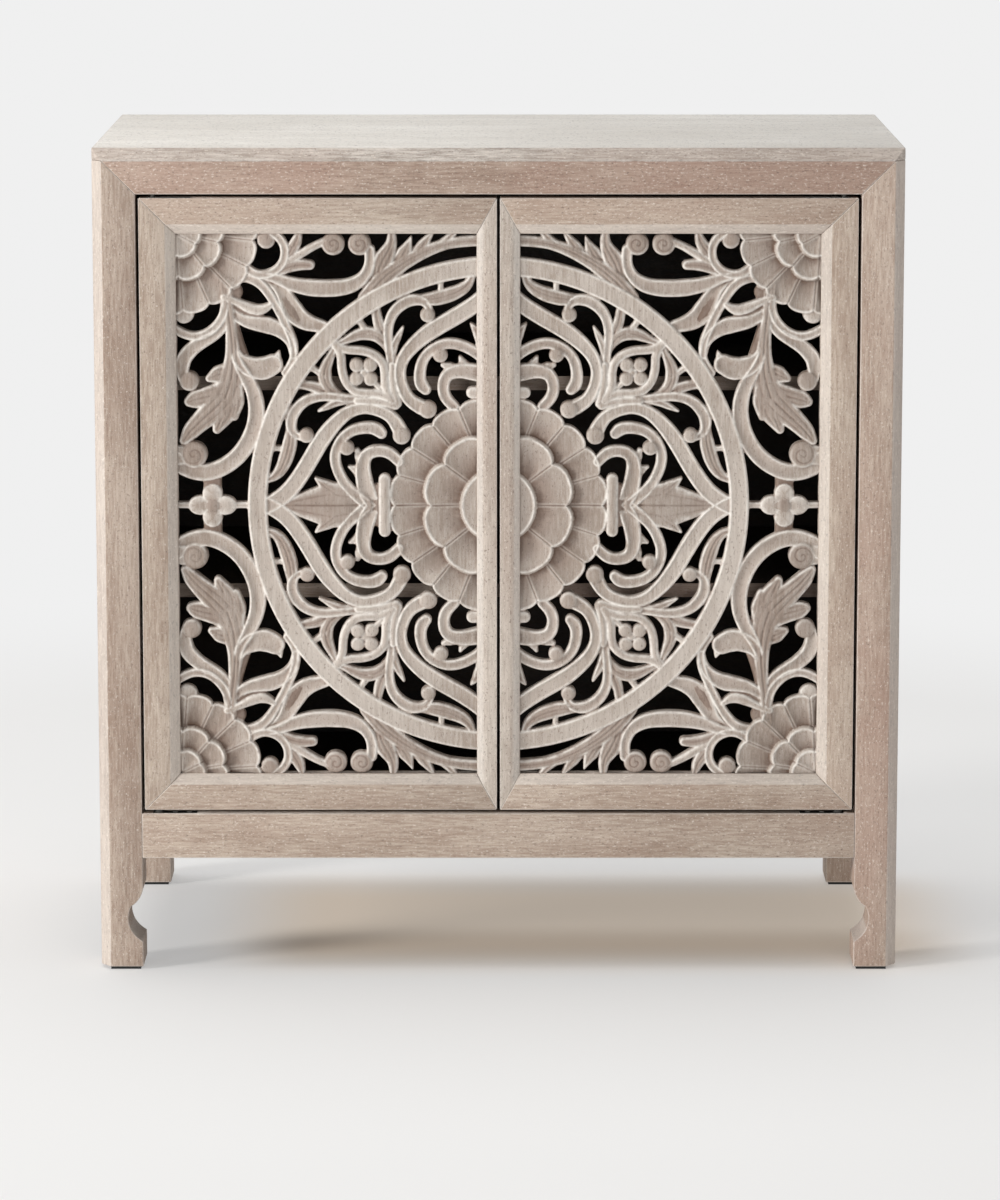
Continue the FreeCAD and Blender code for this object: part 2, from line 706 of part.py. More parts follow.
def softened(grid):
    """The grid with each inner point at the mean of its neighbourhood, as a cutter rounds corners."""
    for row, line in enumerate(grid[1:-1], start=1):
        above = grid[row - 1]
        below = grid[row + 1]
        line[1:-1] = [(line[n - 1] + line[n] + line[n + 1] + above[n] + below[n]) / 5
                      for n in range(1, len(line) - 1)]
    return grid


def edge_loops(grid):
    """Closed outlines of the piercings, followed from square to square of the grid where its sign changes."""
    links = {}
    for row in range(len(grid) - 1):
        for column in range(len(grid[0]) - 1):
            corners = [(row, column), (row, column + 1), (row + 1, column + 1), (row + 1, column)]
            crossed = []
            for number in range(4):
                pair = tuple(sorted((corners[number], corners[(number + 1) % 4])))
                (r0, c0), (r1, c1) = pair
                if (grid[r0][c0] > 0) != (grid[r1][c1] > 0):
                    crossed.append(pair)
            if len(crossed) == 4 and sum(grid[r][c] for r, c in corners) * grid[row][column] > 0:
                crossed = crossed[1:] + crossed[:1]
            for pair, other in zip(crossed[::2], crossed[1::2]):
                links.setdefault(pair, []).append(other)
                links.setdefault(other, []).append(pair)
    loops = []
    while links:
        pair, (following, _) = links.popitem()
        loop = [pair]
        while following in links:
            loop.append(following)
            near, far = links.pop(following)
            following = near if near in links else far
        loops.append([crossing(grid, *pair) for pair in loop])
    return loops


def crossing(grid, near, far):
    """Row and column at which the grid passes through nought between two neighbouring points."""
    here, there = grid[near[0]][near[1]], grid[far[0]][far[1]]
    share = here / (here - there)
    return near[0] + share * (far[0] - near[0]), near[1] + share * (far[1] - near[1])


def thinned(points):
    """Drop the points of an open outline that lie within outline_tolerance of a straight line."""
    (a0, b0), (a1, b1) = points[0], points[-1]
    length = max(math.hypot(a1 - a0, b1 - b0), tiny)
    offsets = [abs((a - a0) * (b1 - b0) - (b - b0) * (a1 - a0)) / length for a, b in points]
    worst = max(range(len(points)), key=offsets.__getitem__)
    if offsets[worst] < outline_tolerance:
        return [points[0], points[-1]]
    return thinned(points[:worst + 1])[:-1] + thinned(points[worst:])


def carving_scale():
    return panel_outer / drawn_half_width, panel_half / drawn_half_height


def piercings():
    """Wires of the panel's holes, in the flat drawing scaled to the panel."""
    scale_u, scale_v = carving_scale()
    start_u = panel_inner / scale_u
    columns = int((drawn_half_width - start_u) / carving_grid)
    rows = int(drawn_half_height / carving_grid)
    wires = []
    upper = softened(softened(wood_depth_grid(columns, rows, start_u)))
    for loop in edge_loops(upper[:0:-1] + upper):
        half = len(loop) // 2
        outline = thinned(loop[:half + 1])[:-1] + thinned(loop[half:] + loop[:1])[:-1]
        corners = [Vec((start_u + column * carving_grid) * scale_u, (row - rows) * carving_grid * scale_v, 0)
                   for row, column in outline]
        if len(corners) > 2:
            wire = Part.makePolygon(corners + corners[:1])
            if Part.Face(wire).Area > least_piercing:
                wires.append(wire)
    return wires


def flat_rectangle(grow):
    return Part.makePlane(panel_outer - panel_inner + 2 * grow, 2 * (panel_half + grow),
                          Vec(panel_inner - grow, -panel_half - grow, 0))


def raised_pieces():
    """Ring and rosettes that stand above the lattice."""
    middle = Vec(0, 0, panel_thickness - lattice_drop)
    ring = rod(medallion_outer - raised_margin, lattice_drop, middle, Z_AXIS)
    ring = ring.cut(rod(medallion_inner + raised_margin, lattice_drop, middle, Z_AXIS))
    pieces = [ring, rod(rosette_radius - raised_margin, lattice_drop, middle, Z_AXIS)]
    for v in (-drawn_half_height, drawn_half_height):
        corner = middle + Vec(drawn_half_width, v, 0)
        pieces.append(rod(corner_rosette_radius - raised_margin, lattice_drop, corner, Z_AXIS))
    scale = FreeCAD.Matrix()
    scale.scale(Vec(*carving_scale(), 1))
    room = flat_rectangle(0.0).extrude(Vec(0, 0, panel_thickness))
    return [piece.transformGeometry(scale).common(room) for piece in pieces]


def carved_panel():
    """Left carved panel: pierced lattice, raised ring and rosettes, and the tongue held by the door frame."""
    holes = piercings()
    lattice = Part.makeFace([flat_rectangle(0.0).OuterWire] + holes, "Part::FaceMakerBullseye")
    panel = lattice.extrude(Vec(0, 0, panel_thickness - lattice_drop))
    tongue = flat_rectangle(panel_tongue).cut(flat_rectangle(0.0)).extrude(Vec(0, 0, tongue_thickness))
    tongue.translate(Vec(0, 0, panel_back - tongue_front - tongue_thickness))
    panel = panel.multiFuse([tongue] + raised_pieces()).removeSplitter()
    panel.rotate(Vec(0, 0, 0), X_AXIS, 90)
    panel.translate(Vec(0, panel_back, door_middle))
    print("piercings", len(holes))
    return mirrored(panel)


os.makedirs("parts", exist_ok=True)

save_pair("front_{}_post", front_post())
save_pair("rear_{}_post", rear_post())
save("front_top_rail", front_top_rail())
save("front_apron_rail", front_apron_rail())
save("rear_top_rail", rear_rail(opening_top, frame_top))
save("rear_bottom_rail", rear_rail(apron_bottom, opening_bottom))
save_pair("{}_side_panel", side_panel())
save("top_panel", top_panel())
save("bottom_panel", bottom_panel())
save("back_panel", back_panel())
save("lower_shelf", shelf(shelf_tops[0]))
save("upper_shelf", shelf(shelf_tops[1]))
save("shelf_pins", group(both_sides(shelf_pins())))
save_pair("{}_bottom_cleat", bottom_cleat())
save("foot_glides", group(both_sides(glides())))
save("frame_dowels", group(both_sides(frame_dowels())))
save("top_fixing_screws", group(top_screws()))
save("back_panel_screws", group(back_screws()))
save("cleat_screws", group(both_sides(cleat_screws())))

save_pair("{}_upper_pivot_plate", upper_pivot_plate())
save_pair("{}_lower_pivot_plate", lower_pivot_plate())
save("pivot_plate_screws", group(both_sides(plate_screws())))
save_pair("{}_magnet_catch", magnet_catch())
save_pair("{}_catch_magnet", catch_magnet())
save("catch_screws", group(both_sides(catch_screws())))

for member, shape in door_frame().items():
    save_pair("{}_door_" + member, shape)
save_pair("{}_door_carved_panel", carved_panel())
save_pair("{}_door_upper_leaf", door_leaf(door_top - leaf_thickness))
save_pair("{}_door_lower_leaf", door_leaf(door_bottom))
save_pair("{}_door_leaf_screws", group(door_leaf_screws()))
save_pair("{}_door_strike_plate", strike_plate())
save_pair("{}_door_strike_screws", group(strike_screws()))
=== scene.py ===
# %% [markdown]
# # Carved cabinet
# A free-standing cabinet of pale limed wood on scrolled feet. Its two doors are pierced and carved, and
# together they show one medallion. The CAD model gives every piece its place and size; this script gives
# the pieces their eased edges, their carving and their finish.

# %% Load the frame
import json
import math

import bmesh
import bpy
import numpy as np
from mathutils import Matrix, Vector


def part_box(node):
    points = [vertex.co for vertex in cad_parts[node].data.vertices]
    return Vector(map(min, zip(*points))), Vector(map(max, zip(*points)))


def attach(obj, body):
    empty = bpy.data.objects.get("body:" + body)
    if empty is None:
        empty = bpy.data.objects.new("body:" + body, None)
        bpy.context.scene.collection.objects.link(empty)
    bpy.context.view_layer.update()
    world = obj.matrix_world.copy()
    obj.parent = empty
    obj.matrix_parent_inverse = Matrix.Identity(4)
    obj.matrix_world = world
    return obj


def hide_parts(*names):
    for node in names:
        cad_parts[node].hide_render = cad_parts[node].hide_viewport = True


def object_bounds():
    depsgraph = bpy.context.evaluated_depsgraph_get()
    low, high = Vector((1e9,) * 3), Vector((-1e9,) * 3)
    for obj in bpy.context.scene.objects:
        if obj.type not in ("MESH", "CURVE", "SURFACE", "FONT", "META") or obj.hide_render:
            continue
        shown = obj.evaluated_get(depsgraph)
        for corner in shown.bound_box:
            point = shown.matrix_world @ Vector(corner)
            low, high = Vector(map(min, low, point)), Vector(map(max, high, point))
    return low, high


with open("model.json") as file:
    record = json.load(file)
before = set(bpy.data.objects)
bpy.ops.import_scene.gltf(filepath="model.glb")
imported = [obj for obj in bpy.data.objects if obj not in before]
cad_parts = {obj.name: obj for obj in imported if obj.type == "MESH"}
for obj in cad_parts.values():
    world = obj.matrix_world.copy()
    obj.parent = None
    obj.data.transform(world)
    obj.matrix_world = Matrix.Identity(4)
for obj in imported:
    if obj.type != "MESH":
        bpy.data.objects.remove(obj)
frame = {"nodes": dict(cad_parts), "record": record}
cad_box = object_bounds()
nodes = frame["nodes"]
record = frame["record"]
slot_of = {row["node"]: row["material_slot"] for row in record["subparts"]}
body_of = {name: body for body, names in record["behaviour"]["bodies"].items() for name in names}
MM = 0.001
print("loaded", len(nodes), "pieces from the frame")

# %% [markdown]
# ## Small tools for wiring materials
# A finish on a real cabinet is a stack of simple things: wood, whitening rubbed into it, dirt, wear. Each
# becomes a few nodes, so short helpers for a node, a product, a mix and a soft threshold keep the stack
# readable.

# %% Node helpers
def add(tree, kind, settings=None, inputs=None):
    """A node with its settings. An input is a value or the output of another node."""
    made = tree.nodes.new(kind)
    for name, value in (settings or {}).items():
        setattr(made, name, value)
    for name, value in (inputs or {}).items():
        if isinstance(value, bpy.types.NodeSocket):
            tree.links.new(value, made.inputs[name])
        else:
            made.inputs[name].default_value = value
    return made


def calc(tree, operation, a, b=0.0):
    return add(tree, "ShaderNodeMath", {"operation": operation}, {0: a, 1: b}).outputs[0]


def times(tree, a, b):
    return calc(tree, "MULTIPLY", a, b)


def mixed(tree, factor, a, b):
    return add(tree, "ShaderNodeMix", {"data_type": "RGBA"}, {0: factor, 6: a, 7: b}).outputs[2]


def soft_step(tree, value, low, high):
    inputs = {"Value": value, "From Min": low, "From Max": high}
    return add(tree, "ShaderNodeMapRange", {"interpolation_type": "SMOOTHSTEP"}, inputs).outputs[0]


def parts_of(tree, vector):
    return add(tree, "ShaderNodeSeparateXYZ", None, {0: vector}).outputs


print("node helpers ready")

# %% [markdown]
# What several finishes share, such as grain and wear, could be wired anew in each material. It is a node
# group instead: built once, with named inputs, and placed in each material with its own values.

# %% Noise, groups and materials
EVEN = (1, 1, 1)


def noise(tree, coordinates, stretch, scale, detail=3.0, roughness=0.55):
    """Noise that is drawn out where the stretch is below 1."""
    place = add(tree, "ShaderNodeMapping", None, {"Vector": coordinates, "Scale": stretch}).outputs[0]
    inputs = {"Vector": place, "Scale": scale, "Detail": detail, "Roughness": roughness}
    return add(tree, "ShaderNodeTexNoise", None, inputs).outputs["Fac"]


def new_group(name, inputs, outputs, kind="ShaderNodeTree"):
    tree = bpy.data.node_groups.new(name, kind)
    for way, sockets in (("INPUT", inputs), ("OUTPUT", outputs)):
        for label, socket in sockets:
            tree.interface.new_socket(label, in_out=way, socket_type=socket)
    return tree, tree.nodes.new("NodeGroupInput").outputs, tree.nodes.new("NodeGroupOutput").inputs


def use_group(tree, group, inputs):
    return add(tree, "ShaderNodeGroup", {"node_tree": group}, inputs).outputs


def new_material(name):
    """A material, its tree, the inputs of its surface and its Object coordinates."""
    material = bpy.data.materials.new(name)
    material.use_nodes = True
    tree = material.node_tree
    place = add(tree, "ShaderNodeTexCoord").outputs["Object"]
    return material, tree, tree.nodes["Principled BSDF"].inputs, place


print("groups and materials can be made")

# %% [markdown]
# ## Limed grain
# Liming rubs white paste into brushed wood. It stays in the open grain, thin on the hard lines, and
# leaves a pale, greyish brown. A picture of wood would repeat from board to board, so the grain is made
# of noises drawn out along the board: fine lines, short pores and flecks, broad bands, clouds of paste
# and warm patches.

# %% Group: limed grain along Z
COLOR, FLOAT, VECTOR = "NodeSocketColor", "NodeSocketFloat", "NodeSocketVector"
FLECK = (0.700, 0.630, 0.560, 1)
# Stretch, scale, detail and roughness of each noise
FINE_LINES = ((1, 1, 0.10), 420, 4, 0.65)
SHORT_PORES = ((1, 1, 0.5), 560, 3, 0.7)
BROAD_BANDS = ((1, 1, 0.15), 34, 3)
PASTE_CLOUDS = ((1, 1, 0.5), 9, 4)
WARM_PATCHES = ((1, 1, 0.45), 7.5, 3)
# Share of each noise in the paste, and where the soft thresholds start and end
FINE_SHARE, SHORT_SHARE, BROAD_SHARE, CLOUD_SHARE = 0.34, 0.32, 0.18, 0.16
LIMED, WARM, PORE, FLECKED = (0.40, 0.60), (0.44, 0.66), (0.54, 0.68), (0.55, 0.68)
WARM_SHARE, PORE_SHARE, PORE_SINK = 0.5, 0.7, 0.6


def make_grain_group():
    colors = [(name, COLOR) for name in ("Wood", "Lime", "Pore", "Blush")]
    tree, given, out = new_group("Limed grain", [("Coordinates", VECTOR), ("Flecked", FLOAT)] + colors,
                                 [("Color", COLOR), ("Height", FLOAT)])
    kinds = (FINE_LINES, SHORT_PORES, BROAD_BANDS, PASTE_CLOUDS, WARM_PATCHES)
    fine, short, broad, cloud, patch = [noise(tree, given["Coordinates"], *kind) for kind in kinds]
    paste = times(tree, fine, FINE_SHARE)
    for part, share in ((short, SHORT_SHARE), (broad, BROAD_SHARE), (cloud, CLOUD_SHARE)):
        paste = calc(tree, "ADD", paste, times(tree, part, share))
    limed = mixed(tree, soft_step(tree, paste, *LIMED), given["Wood"], given["Lime"])
    limed = mixed(tree, times(tree, soft_step(tree, patch, *WARM), WARM_SHARE), limed, given["Blush"])
    pore = soft_step(tree, short, *PORE)
    limed = mixed(tree, times(tree, pore, PORE_SHARE), limed, given["Pore"])
    fleck = soft_step(tree, calc(tree, "SUBTRACT", 1.0, short), *FLECKED)
    limed = mixed(tree, times(tree, fleck, given["Flecked"]), limed, FLECK)
    tree.links.new(limed, out["Color"])
    tree.links.new(calc(tree, "SUBTRACT", fine, times(tree, pore, PORE_SINK)), out["Height"])
    return tree


grain_group = make_grain_group()
print("made the limed grain")

# %% [markdown]
# ## Worn edges and painted highlight
# The sanded edges of the boards are paler than their faces: partly wear, because the paste lies thick on
# them and hands rub it bright, and partly a painted highlight. Painting them by hand would take long. A
# bevelled normal differs from the true one only near an edge, so their difference finds every edge by
# itself.

# %% Group: worn edges and painted highlight
BEVEL_SAMPLES = 6
ON_EDGE, PATCHY = (0.01, 0.12), (0.3, 0.62)
PATCHES = (EVEN, 70, 4)


def make_worn_highlight_group():
    sizes = [("Coordinates", VECTOR), ("Radius", FLOAT)]
    tree, given, out = new_group("Worn and highlit edges", sizes, [("Mask", FLOAT)])
    rounded = add(tree, "ShaderNodeBevel", {"samples": BEVEL_SAMPLES}, {"Radius": given["Radius"]})
    true = add(tree, "ShaderNodeNewGeometry").outputs["Normal"]
    normals = {0: rounded.outputs[0], 1: true}
    alike = add(tree, "ShaderNodeVectorMath", {"operation": "DOT_PRODUCT"}, normals)
    # Near an edge the mask is 1: partly wear, partly a painted highlight.
    edge = soft_step(tree, calc(tree, "SUBTRACT", 1.0, alike.outputs["Value"]), *ON_EDGE)
    patchy = soft_step(tree, noise(tree, given["Coordinates"], *PATCHES), *PATCHY)
    tree.links.new(times(tree, edge, patchy), out["Mask"])
    return tree


worn_highlight_group = make_worn_highlight_group()
print("made the worn edges")

# %% [markdown]
# ## Sloping faces
# The bevels round the panels and the chamfers of the posts look paler than the flats beside them: they
# were planed last and took more paste. They could have a material of their own, but the normal already
# tells them apart: on a sloping face it lies between the main directions of the piece.

# %% Group: sloping faces, and upward faces for a painted reflection
# The upward mask puts a painted reflection on the top.
SLOPING, UPWARD_REFLECTION = (0.04, 0.10), (0.90, 0.98)


def make_slope_group():
    masks = [("Sloping", FLOAT), ("Upward reflection", FLOAT)]
    tree, given, out = new_group("Sloping faces", [("Normal", VECTOR)], masks)
    parts = parts_of(tree, given["Normal"])
    main = 0.0
    for axis in "XYZ":
        main = calc(tree, "MAXIMUM", calc(tree, "ABSOLUTE", parts[axis]), main)
    tree.links.new(soft_step(tree, calc(tree, "SUBTRACT", 1.0, main), *SLOPING), out["Sloping"])
    tree.links.new(soft_step(tree, parts["Z"], *UPWARD_REFLECTION), out["Upward reflection"])
    return tree


slope_group = make_slope_group()
print("made the sloping faces")

# %% [markdown]
# ## Inside of the case
# Seen through the piercings the inside is nearly black: the boards are stained dark there, and the
# near-black is partly painted shade. One board is pale outside and dark inside, so the stain goes by place,
# on whatever lies within the case.

# %% Group: inside of the case
HAIR = 0.5 * MM
floor_low, floor_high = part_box("bottom_panel")
CASE_HALF_WIDTH = floor_high.x + HAIR
CASE_LIMITS = [("Y", "GREATER_THAN", floor_low.y - HAIR),
               ("Y", "LESS_THAN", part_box("back_panel")[1].y + HAIR),
               ("Z", "GREATER_THAN", floor_low.z + HAIR),
               ("Z", "LESS_THAN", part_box("top_panel")[0].z + HAIR)]


def make_inside_group():
    tree, given, out = new_group("Inside of the case", [("Coordinates", VECTOR)], [("Mask", FLOAT)])
    place = parts_of(tree, given["Coordinates"])
    mask = calc(tree, "LESS_THAN", calc(tree, "ABSOLUTE", place["X"]), CASE_HALF_WIDTH)
    for axis, test, limit in CASE_LIMITS:
        mask = times(tree, mask, calc(tree, test, place[axis], limit))
    tree.links.new(mask, out["Mask"])
    return tree


inside_group = make_inside_group()
print("made the inside mask")

# %% [markdown]
# ## Matt surface
# Limed wood has no varnish. It is matt, and brushing has raised its grain a little. The grain's height
# therefore drives both the roughness and a bump, which costs no faces.

# %% Helpers of the wood finishes
GRAIN_DEPTH, GRAIN_STRENGTH = 0.6 * MM, 0.5
MATT = (-0.6, 1.1)
SHEEN = 0.3
EDGE_RADIUS = 2.2 * MM


def along_z(tree, place, axis):
    """Coordinates turned so that the grain runs along Z."""
    if axis == "Z":
        return place
    parts = parts_of(tree, place)
    return add(tree, "ShaderNodeCombineXYZ", None, {0: parts["Y"], 1: parts["Z"], 2: parts["X"]}).outputs[0]


def grained(tree, place, tones, pore, flecked):
    """The limed grain in three tones: bare wood, lime and blush."""
    colors = dict(zip(("Wood", "Lime", "Blush"), tones))
    return use_group(tree, grain_group, {"Coordinates": place, "Pore": pore, "Flecked": flecked, **colors})


def worn_and_highlit_edges(tree, place):
    return use_group(tree, worn_highlight_group, {"Coordinates": place, "Radius": EDGE_RADIUS})["Mask"]


def matt_surface(tree, surface, color, height):
    tree.links.new(color, surface["Base Color"])
    tree.links.new(soft_step(tree, height, *MATT), surface["Roughness"])
    raised = {"Height": height, "Distance": GRAIN_DEPTH, "Strength": GRAIN_STRENGTH}
    tree.links.new(add(tree, "ShaderNodeBump", None, raised).outputs[0], surface["Normal"])
    surface["Specular IOR Level"].default_value = SHEEN


print("wood helpers ready")

# %% [markdown]
# ## Limed wood
# The grain runs along each board: upright in posts and stiles, level in rails and top. The boards also
# differ in tone: the meeting stiles took more paste and are pale, the top rail is darker as painted shade,
# and the top is nearly white where it faces up as a painted reflection, with a streaky edge that is darker
# along its crest. So one function makes the finish in any direction and tone.

# %% Limed wood materials
# Bare wood, lime and blush of each kind of board
FRAME_TONES = (0.280, 0.193, 0.146, 1), (0.530, 0.436, 0.362, 1), (0.370, 0.245, 0.195, 1)
DOOR_TONES = (0.287, 0.207, 0.157, 1), (0.545, 0.458, 0.380, 1), (0.400, 0.292, 0.230, 1)
# The top rail's darker tones are painted shade.
SHADED_RAIL_TONES = (0.250, 0.168, 0.126, 1), (0.490, 0.392, 0.322, 1), (0.345, 0.218, 0.170, 1)
PALE_TONES = (0.350, 0.285, 0.238, 1), (0.600, 0.535, 0.470, 1), (0.460, 0.360, 0.300, 1)
# The top's tones where it faces up are paler: a painted reflection.
TOP_REFLECTION_TONES = (0.590, 0.560, 0.515, 1), (0.765, 0.740, 0.695, 1), (0.590, 0.560, 0.515, 1)
TOP_EDGE_TONES = (0.205, 0.165, 0.135, 1), (0.660, 0.605, 0.550, 1), (0.400, 0.320, 0.272, 1)
# The near-black inside is partly a stain and partly painted shade.
PORE_DARK, STAIN_AND_SHADE = (0.130, 0.086, 0.064, 1), (0.020, 0.013, 0.009, 1)
# Cream on worn edges is partly wear and partly a painted highlight; on sloping faces it is paste.
PASTE_AND_HIGHLIGHT_CREAM, CREST_DARK = (0.740, 0.705, 0.660, 1), (0.170, 0.130, 0.105, 1)
# The top is darker along the crest of its front edge.
DARK_CREST_BAND = (cad_box[1].z - 4.5 * MM, cad_box[1].z - 2.5 * MM)
BOARD_FLECKS, PLANED_SHARE, WORN_HIGHLIGHT_SHARE = 0.75, 0.35, 0.65


def limed_wood(name, axis, tones, reflecting_tones=None, planed_share=PLANED_SHARE):
    """Finish with its grain along an axis. What faces up can have tones of its own: a painted reflection.
    """
    material, tree, surface, place = new_material(name)
    normal = add(tree, "ShaderNodeTexCoord").outputs["Normal"]
    facing = use_group(tree, slope_group, {"Normal": normal})
    tones = [mixed(tree, facing["Upward reflection"], flat, reflected) for flat, reflected in zip(tones, reflecting_tones or tones)]
    grain = grained(tree, along_z(tree, place, axis), tones, PORE_DARK, BOARD_FLECKS)
    planed = mixed(tree, times(tree, facing["Sloping"], planed_share), grain["Color"], PASTE_AND_HIGHLIGHT_CREAM)
    crest = soft_step(tree, parts_of(tree, place)["Z"], *DARK_CREST_BAND)
    rubbed_and_highlit = mixed(tree, crest, PASTE_AND_HIGHLIGHT_CREAM, CREST_DARK)
    pale = mixed(tree, times(tree, worn_and_highlit_edges(tree, place), WORN_HIGHLIGHT_SHARE), planed, rubbed_and_highlit)
    inside = use_group(tree, inside_group, {"Coordinates": place})["Mask"]
    matt_surface(tree, surface, mixed(tree, inside, pale, STAIN_AND_SHADE), grain["Height"])
    return material


limed_woods = {
    "upright": limed_wood("limed_wood_upright", "Z", FRAME_TONES),
    "level": limed_wood("limed_wood_level", "X", FRAME_TONES),
    "door_upright": limed_wood("limed_wood_door_upright", "Z", DOOR_TONES),
    "door_level": limed_wood("limed_wood_door_level", "X", DOOR_TONES),
    "rail": limed_wood("limed_wood_rail_painted_shade", "X", SHADED_RAIL_TONES),
    "top": limed_wood("limed_wood_top_with_reflection", "X", TOP_EDGE_TONES, TOP_REFLECTION_TONES, 0.0),
    "pale": limed_wood("limed_wood_pale", "Z", PALE_TONES),
}
print("made", len(limed_woods), "limed woods")

# %% [markdown]
# ## Carved wood
# On the carving the crests and rims are cream, partly paste and partly painted highlight, and the hollows
# are brown, partly dirt and partly painted shade. The relief mesh carries two values at each point, how
# pale it is as a rim and how brown as a hollow, and the material mixes cream and brown by them.

# %% Carved wood material
# Brown hollows are partly dirt and partly painted shade; cream rims are partly paste and partly painted
# highlight.
HOLLOW_DIRT_AND_SHADE, RIM_PASTE_AND_HIGHLIGHT = (0.135, 0.084, 0.060, 1), (0.880, 0.845, 0.790, 1)
CARVED_WOOD, CARVED_LIME = (0.320, 0.258, 0.212, 1), (0.570, 0.510, 0.455, 1)
CARVED_BLUSH, CARVED_PORE = (0.450, 0.305, 0.245, 1), (0.230, 0.175, 0.140, 1)
CARVED_FLECKS = 0.35
# Stretch, scale, detail and roughness of each noise
RUB, RUBBED = (EVEN, 120, 4), (0.2, 0.6)
# The patches of brown are partly grime and partly painted shade.
GRIME_AND_SHADE_PATCHES, LEAST_GRIME_AND_SHADE = (EVEN, 45, 5, 0.65), 0.35


def carved_wood(name):
    material, tree, surface, place = new_material(name)
    # The rim attribute is partly paste and partly a painted highlight.
    rim = add(tree, "ShaderNodeAttribute", {"attribute_name": "rim"}).outputs["Fac"]
    brown_and_shade = add(tree, "ShaderNodeAttribute", {"attribute_name": "brown_and_shade"}).outputs["Fac"]
    tones = CARVED_WOOD, CARVED_LIME, mixed(tree, brown_and_shade, CARVED_LIME, CARVED_BLUSH)
    grain = grained(tree, place, tones, CARVED_PORE, CARVED_FLECKS)
    rubbed_and_highlit = soft_step(tree, noise(tree, place, *RUB), *RUBBED)
    grime_and_shade = calc(tree, "ADD", LEAST_GRIME_AND_SHADE, noise(tree, place, *GRIME_AND_SHADE_PATCHES))
    wiped_and_shaded = mixed(tree, times(tree, brown_and_shade, grime_and_shade), grain["Color"], HOLLOW_DIRT_AND_SHADE)
    matt_surface(tree, surface, mixed(tree, times(tree, rim, rubbed_and_highlit), wiped_and_shaded, RIM_PASTE_AND_HIGHLIGHT), grain["Height"])
    return material


carving_wood = carved_wood("carved_wood")
print("made the carved wood")

# %% [markdown]
# ## Stained boards
# Shelves, bottom and back are boards stained dark, partly as painted shade, with the brown wood showing
# along their edges. The front edge of a shelf catches the light behind the piercings, so it is limed like
# the frame.

# %% Stained boards
# The dark stain of the inside boards is partly painted shade.
STAIN_AND_SHADE_TONES = (0.016, 0.011, 0.008, 1), (0.050, 0.032, 0.022, 1)
BEECH_TONES = (0.42, 0.27, 0.15, 1), (0.56, 0.39, 0.23, 1)
# Paler edges of the stained boards: partly wear, partly a painted highlight.
STAIN_WORN_HIGHLIGHT, SHELF_FLECKS = 0.5, 0.4
STAIN_SHEEN = (-0.8, 1.2)


def stained_wood(name, dark, light, bare_before=None):
    """Dark stain over level grain. What lies in front of bare_before is a limed edge."""
    material, tree, surface, place = new_material(name)
    level = along_z(tree, place, "X")
    grain = grained(tree, level, (dark, light, light), dark, 0.0)
    color = mixed(tree, times(tree, worn_and_highlit_edges(tree, place), STAIN_WORN_HIGHLIGHT), grain["Color"], light)
    if bare_before is not None:
        edge = grained(tree, level, FRAME_TONES, PORE_DARK, SHELF_FLECKS)
        in_front = calc(tree, "LESS_THAN", parts_of(tree, place)["Y"], bare_before)
        color = mixed(tree, in_front, color, edge["Color"])
    tree.links.new(color, surface["Base Color"])
    tree.links.new(soft_step(tree, grain["Height"], *STAIN_SHEEN), surface["Roughness"])
    return material


finish_of = {
    "inside_wood": stained_wood("stained_wood", *STAIN_AND_SHADE_TONES),
    "shelf": stained_wood("shelf_wood_stained_and_shaded", *STAIN_AND_SHADE_TONES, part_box("lower_shelf")[0].y + HAIR),
    "dowel_wood": stained_wood("beech", *BEECH_TONES),
}
print("made", len(finish_of), "finishes of the inside")

# %% [markdown]
# ## Metal and plastic
# Fittings are zinc plated steel, pivots and magnets are darker, and glides and catches are moulded
# plastic. An even colour looks false close up, so a fine noise varies colour and roughness together.

# %% Finishes of the fittings
SPECK_DETAIL = 4
METAL_ROUGH, MAGNET_ROUGH, PLASTIC_ROUGH = (-0.8, 1.6), (-0.6, 1.2), (-0.9, 1.0)
# Material, dark tone, light tone, metal share, range of the roughness, scale of the specks
FITTINGS = {
    "steel": ("zinc_steel", (0.44, 0.43, 0.41, 1), (0.62, 0.61, 0.58, 1), 1.0, METAL_ROUGH, 500),
    "pivot": ("dark_steel", (0.030, 0.028, 0.026, 1), (0.060, 0.057, 0.053, 1), 0.8, METAL_ROUGH, 500),
    "magnet": ("magnet", (0.030, 0.030, 0.032, 1), (0.060, 0.060, 0.064, 1), 0.6, MAGNET_ROUGH, 400),
    "black_plastic": ("black_plastic", (0.006, 0.006, 0.006, 1), (0.016, 0.016, 0.016, 1), 0.0,
                      PLASTIC_ROUGH, 700),
    "brown_plastic": ("brown_plastic", (0.060, 0.034, 0.020, 1), (0.090, 0.052, 0.032, 1), 0.0,
                      PLASTIC_ROUGH, 700),
}


def speckled(name, dark, light, metal, rough, scale):
    material, tree, surface, place = new_material(name)
    speck = noise(tree, place, EVEN, scale, SPECK_DETAIL)
    tree.links.new(mixed(tree, speck, dark, light), surface["Base Color"])
    tree.links.new(soft_step(tree, speck, *rough), surface["Roughness"])
    surface["Metallic"].default_value = metal
    return material


finish_of.update({fitting: speckled(*look) for fitting, look in FITTINGS.items()})
print("made", len(FITTINGS), "finishes of the fittings")

# %% [markdown]
# ## Eased boards
# No board of the real cabinet has a knife edge: a plane or sandpaper takes about a millimetre off. A
# board could be drawn anew as a box, but its tongues and mitres would be lost. Each board is the CAD
# node's own shape with its long and outer edges rounded, so it stays exactly where the CAD model has it.

# %% Edges of a board
EASE, LONG_EDGE, MERGE = 1.1 * MM, 12 * MM, 0.01 * MM
FLAT, SHARP, SMOOTH_BELOW = math.radians(1), math.radians(25), math.radians(32)


